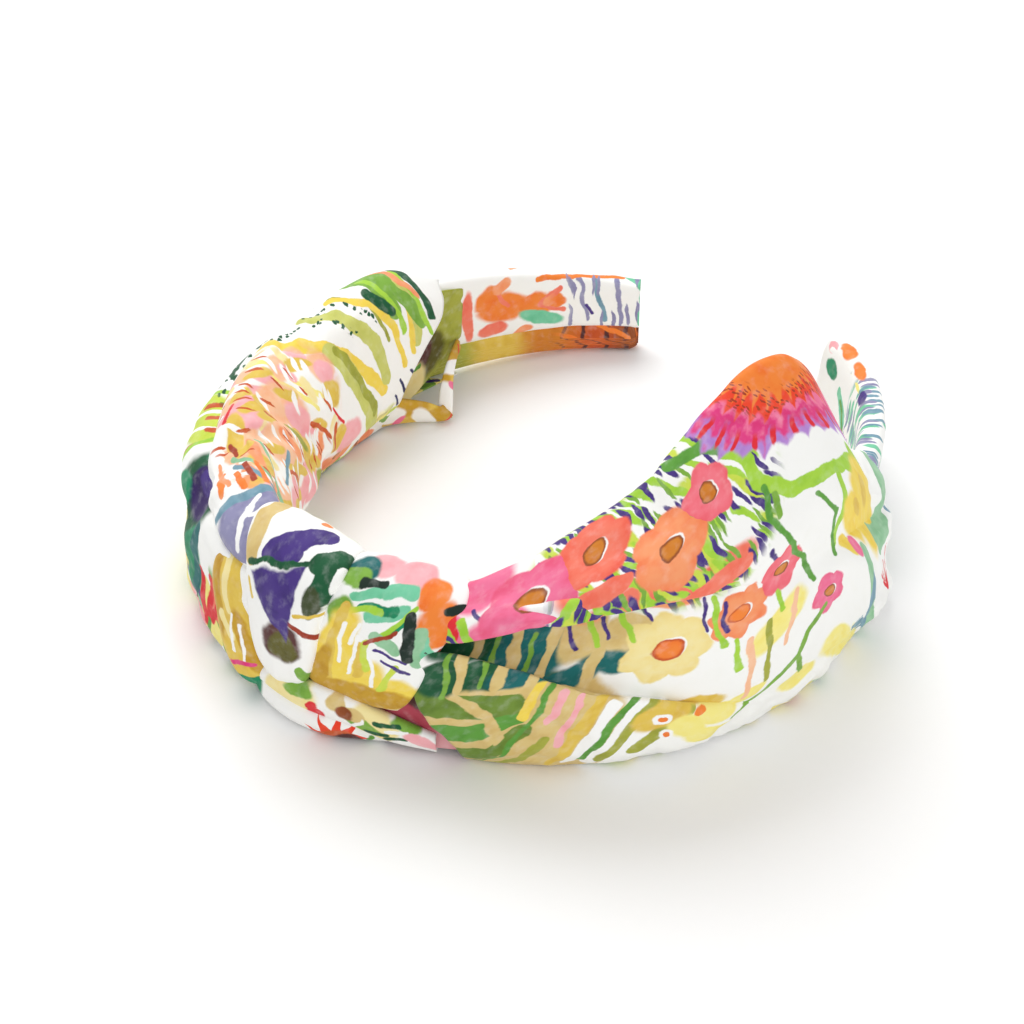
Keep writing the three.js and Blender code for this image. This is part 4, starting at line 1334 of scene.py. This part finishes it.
def rightFacingPrint():
    p = Print("right_facing_print")
    streaks = p.part(0, 122, 178)
    p.dashes("mint", 84, 10, 3, 0.8, streaks, 21)
    p.dashes("blueGrey", 78, 9, 1.8, 0.6, streaks, 22)
    p.dashes("greyLilac", 82, 9, 2, 0.6, streaks, 23)
    p.strokes("mint", 3, (178, 4, 186, 8))
    p.strokes("leafGreen", 1.2, (174, 2, 184, 7))
    p.blobs("emerald", (193, 10, 3, 2))
    p.blobs("palePink", (196, 14, 2, 1.6))
    p.blobs("orange", (191, 17, 4.4, 1.8), (181, 18, 4, 1.6))
    p.blobs("violet", (170, 17, 2.4, 1.6))
    return p.finish()


def rightSleevePrint():
    p = Print("right_sleeve_print")
    streaks = p.part(0, 122, 182)
    p.dashes("sage", 84, 11, 3, 0.6, streaks, 24)
    p.dashes("greyLilac", 78, 9, 1.8, 0.4, streaks, 25)
    p.strokes("orange", 3, (150, 17, 158, 17), (168, 17, 180, 18), (188, 16, 194, 16))
    p.strokes("violet", 1.4, (146, 14, 150, 28), (160, 12, 163, 30), (182, 12, 184, 26))
    p.strokes("mint", 3, (154, 22, 164, 26), (174, 12, 178, 24), (136, 14, 142, 22))
    p.strokes("blueGrey", 1.6, (168, 22, 172, 34), (130, 16, 136, 30))
    p.blobs("coral", (186, 24, 4, 3), (146, 34, 4, 2.4))
    p.blobs("paleYellow", (176, 32, 6, 3), (128, 34, 8, 3))
    return p.finish()


def plasticMaterial():
    p = Paint("band_plastic_look")
    grain = p.noise(p.node("ShaderNodeTexCoord", None, None, "Object"), 900, 2)
    p.set(colour=p.mix(shade(214, 210, 198), shade(226, 223, 212), grain), roughness=grain * 0.1 + 0.4,
          normal=p.node("ShaderNodeBump", None, {"Strength": 0.05, "Distance": 0.0001, "Height": grain}))
    return p.material


def floorMaterial():
    p = Paint("floor_paper")
    grain = p.noise(p.node("ShaderNodeTexCoord", None, None, "Object"), 400, 2)
    p.set(colour=p.mix(shade(250, 250, 250), shade(252, 252, 252), grain), roughness=0.9)
    return p.material


# the two big covers are painted in sections, because one material can't hold every motif
rightSections = [(-99, 42, -99, 24), (-99, 45, 24, 99), (42, 62, -99, 24), (42, 54, 24, 99),
                 (54, 66, 24, 99),
                 (62, 84, -99, 30), (66, 82, 30, 99), (82, 300, 30, 99), (84, 104, -99, 30),
                 (104, 300, -99, 30)]
leftSections = [(-99, 45, -99, 3), (-99, 48, 3, 99), (45, 76, -99, 3), (45, 70, 3, 99), (70, 300, 3, 99),
                (76, 103, -99, 3),
                (103, 300, -99, 3)]


def paintSections(piece, sections, makePrint):
    for i, window in enumerate(sections):
        piece.data.materials.append(makePrint(f"{piece.name}_print_{i + 1}", window))
    layer = piece.data.uv_layers["print"]
    for face in piece.data.polygons:
        spots = [layer.data[i].uv for i in face.loop_indices]
        x, y = (sum(s[k] for s in spots) / len(spots) / mm for k in (0, 1))
        face.material_index = next(i for i,
                                   (x0, x1, y0, y1) in enumerate(sections) if x0 <= x < x1 and y0 <= y < y1)


paintSections(rightCloth, rightSections, rightPrint)
paintSections(leftCloth, leftSections, leftPrint)
looks = {
    wrapCloth: wrapPrint(),
    flapCloth: flapPrint(),
    lowerBandCloth: lowerBandPrint(),
    rollCloth: rollPrint(),
    pleatCloth: pleatPrint(),
    tuckCloth: tuckPrint(),
    endTuckCloth: endTuckPrint(),
    endFlareCloth: endPrint(),
    leftSleeve: sleevePrint(),
    rightSleeve: rightSleevePrint(),
    leftFacing: facingPrint(arcLength(119)),
    rightFacing: rightFacingPrint(),
    floor: floorMaterial(),
}
looks[endTurnCloth] = looks[endFlareCloth]
for piece, look in looks.items():
    piece.data.materials.clear()
    piece.data.materials.append(look)
plastic = plasticMaterial()
for node in ("core_crown", "core_left_arm", "core_right_arm"):
    for place in bpy.data.objects[node].material_slots:
        place.material = plastic
clothLayer(rightCloth)
clothLayer(leftCloth)

# what every piece rides on; then the modelled parts that the cloth takes the place of are hidden
for piece in (wrapCloth, flapCloth, lowerBandCloth, rollCloth, pleatCloth, tuckCloth):
    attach(piece, "crown")
for piece in (leftSleeve, leftFacing, endTuckCloth, endFlareCloth, endTurnCloth):
    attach(piece, "left_arm")
for piece in (rightSleeve, rightFacing):
    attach(piece, "right_arm")
tuple(bandPoint(13, 4, 20))
tuple(bandPoint(31, 4, 20))
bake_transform(rightCloth)
tuple(bandPoint(-13, 4, 20))
tuple(bandPoint(-31, 4, 20))
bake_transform(leftCloth)
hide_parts("right_cover", "right_wadding", "right_gather_thread")
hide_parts("left_cover", "left_wadding", "left_gather_thread")
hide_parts("knot_wrap")
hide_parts("knot_flap")
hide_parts("knot_lower_band")
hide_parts("knot_base", "crown_wadding", "knot_tack_thread")
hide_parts("left_tip_sleeve")
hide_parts("right_tip_sleeve")
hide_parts("left_facing")
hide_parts("right_facing")


def clothSize(piece):
    # the cloth's area, from its mesh before it is given thickness
    return sum(face.area for face in piece.data.polygons)


for piece, long, held in ((leftSleeve, 0.082, "stretched"), (rightSleeve, 0.083, "stretched"),
                          (leftFacing, 0.078, "folded"), (rightFacing, 0.079, "folded"),
                          (tuckCloth, 0.054, "folded"),
                          (endTuckCloth, 0.026, "gathered")):
    round(clothSize(piece) / long, 4)
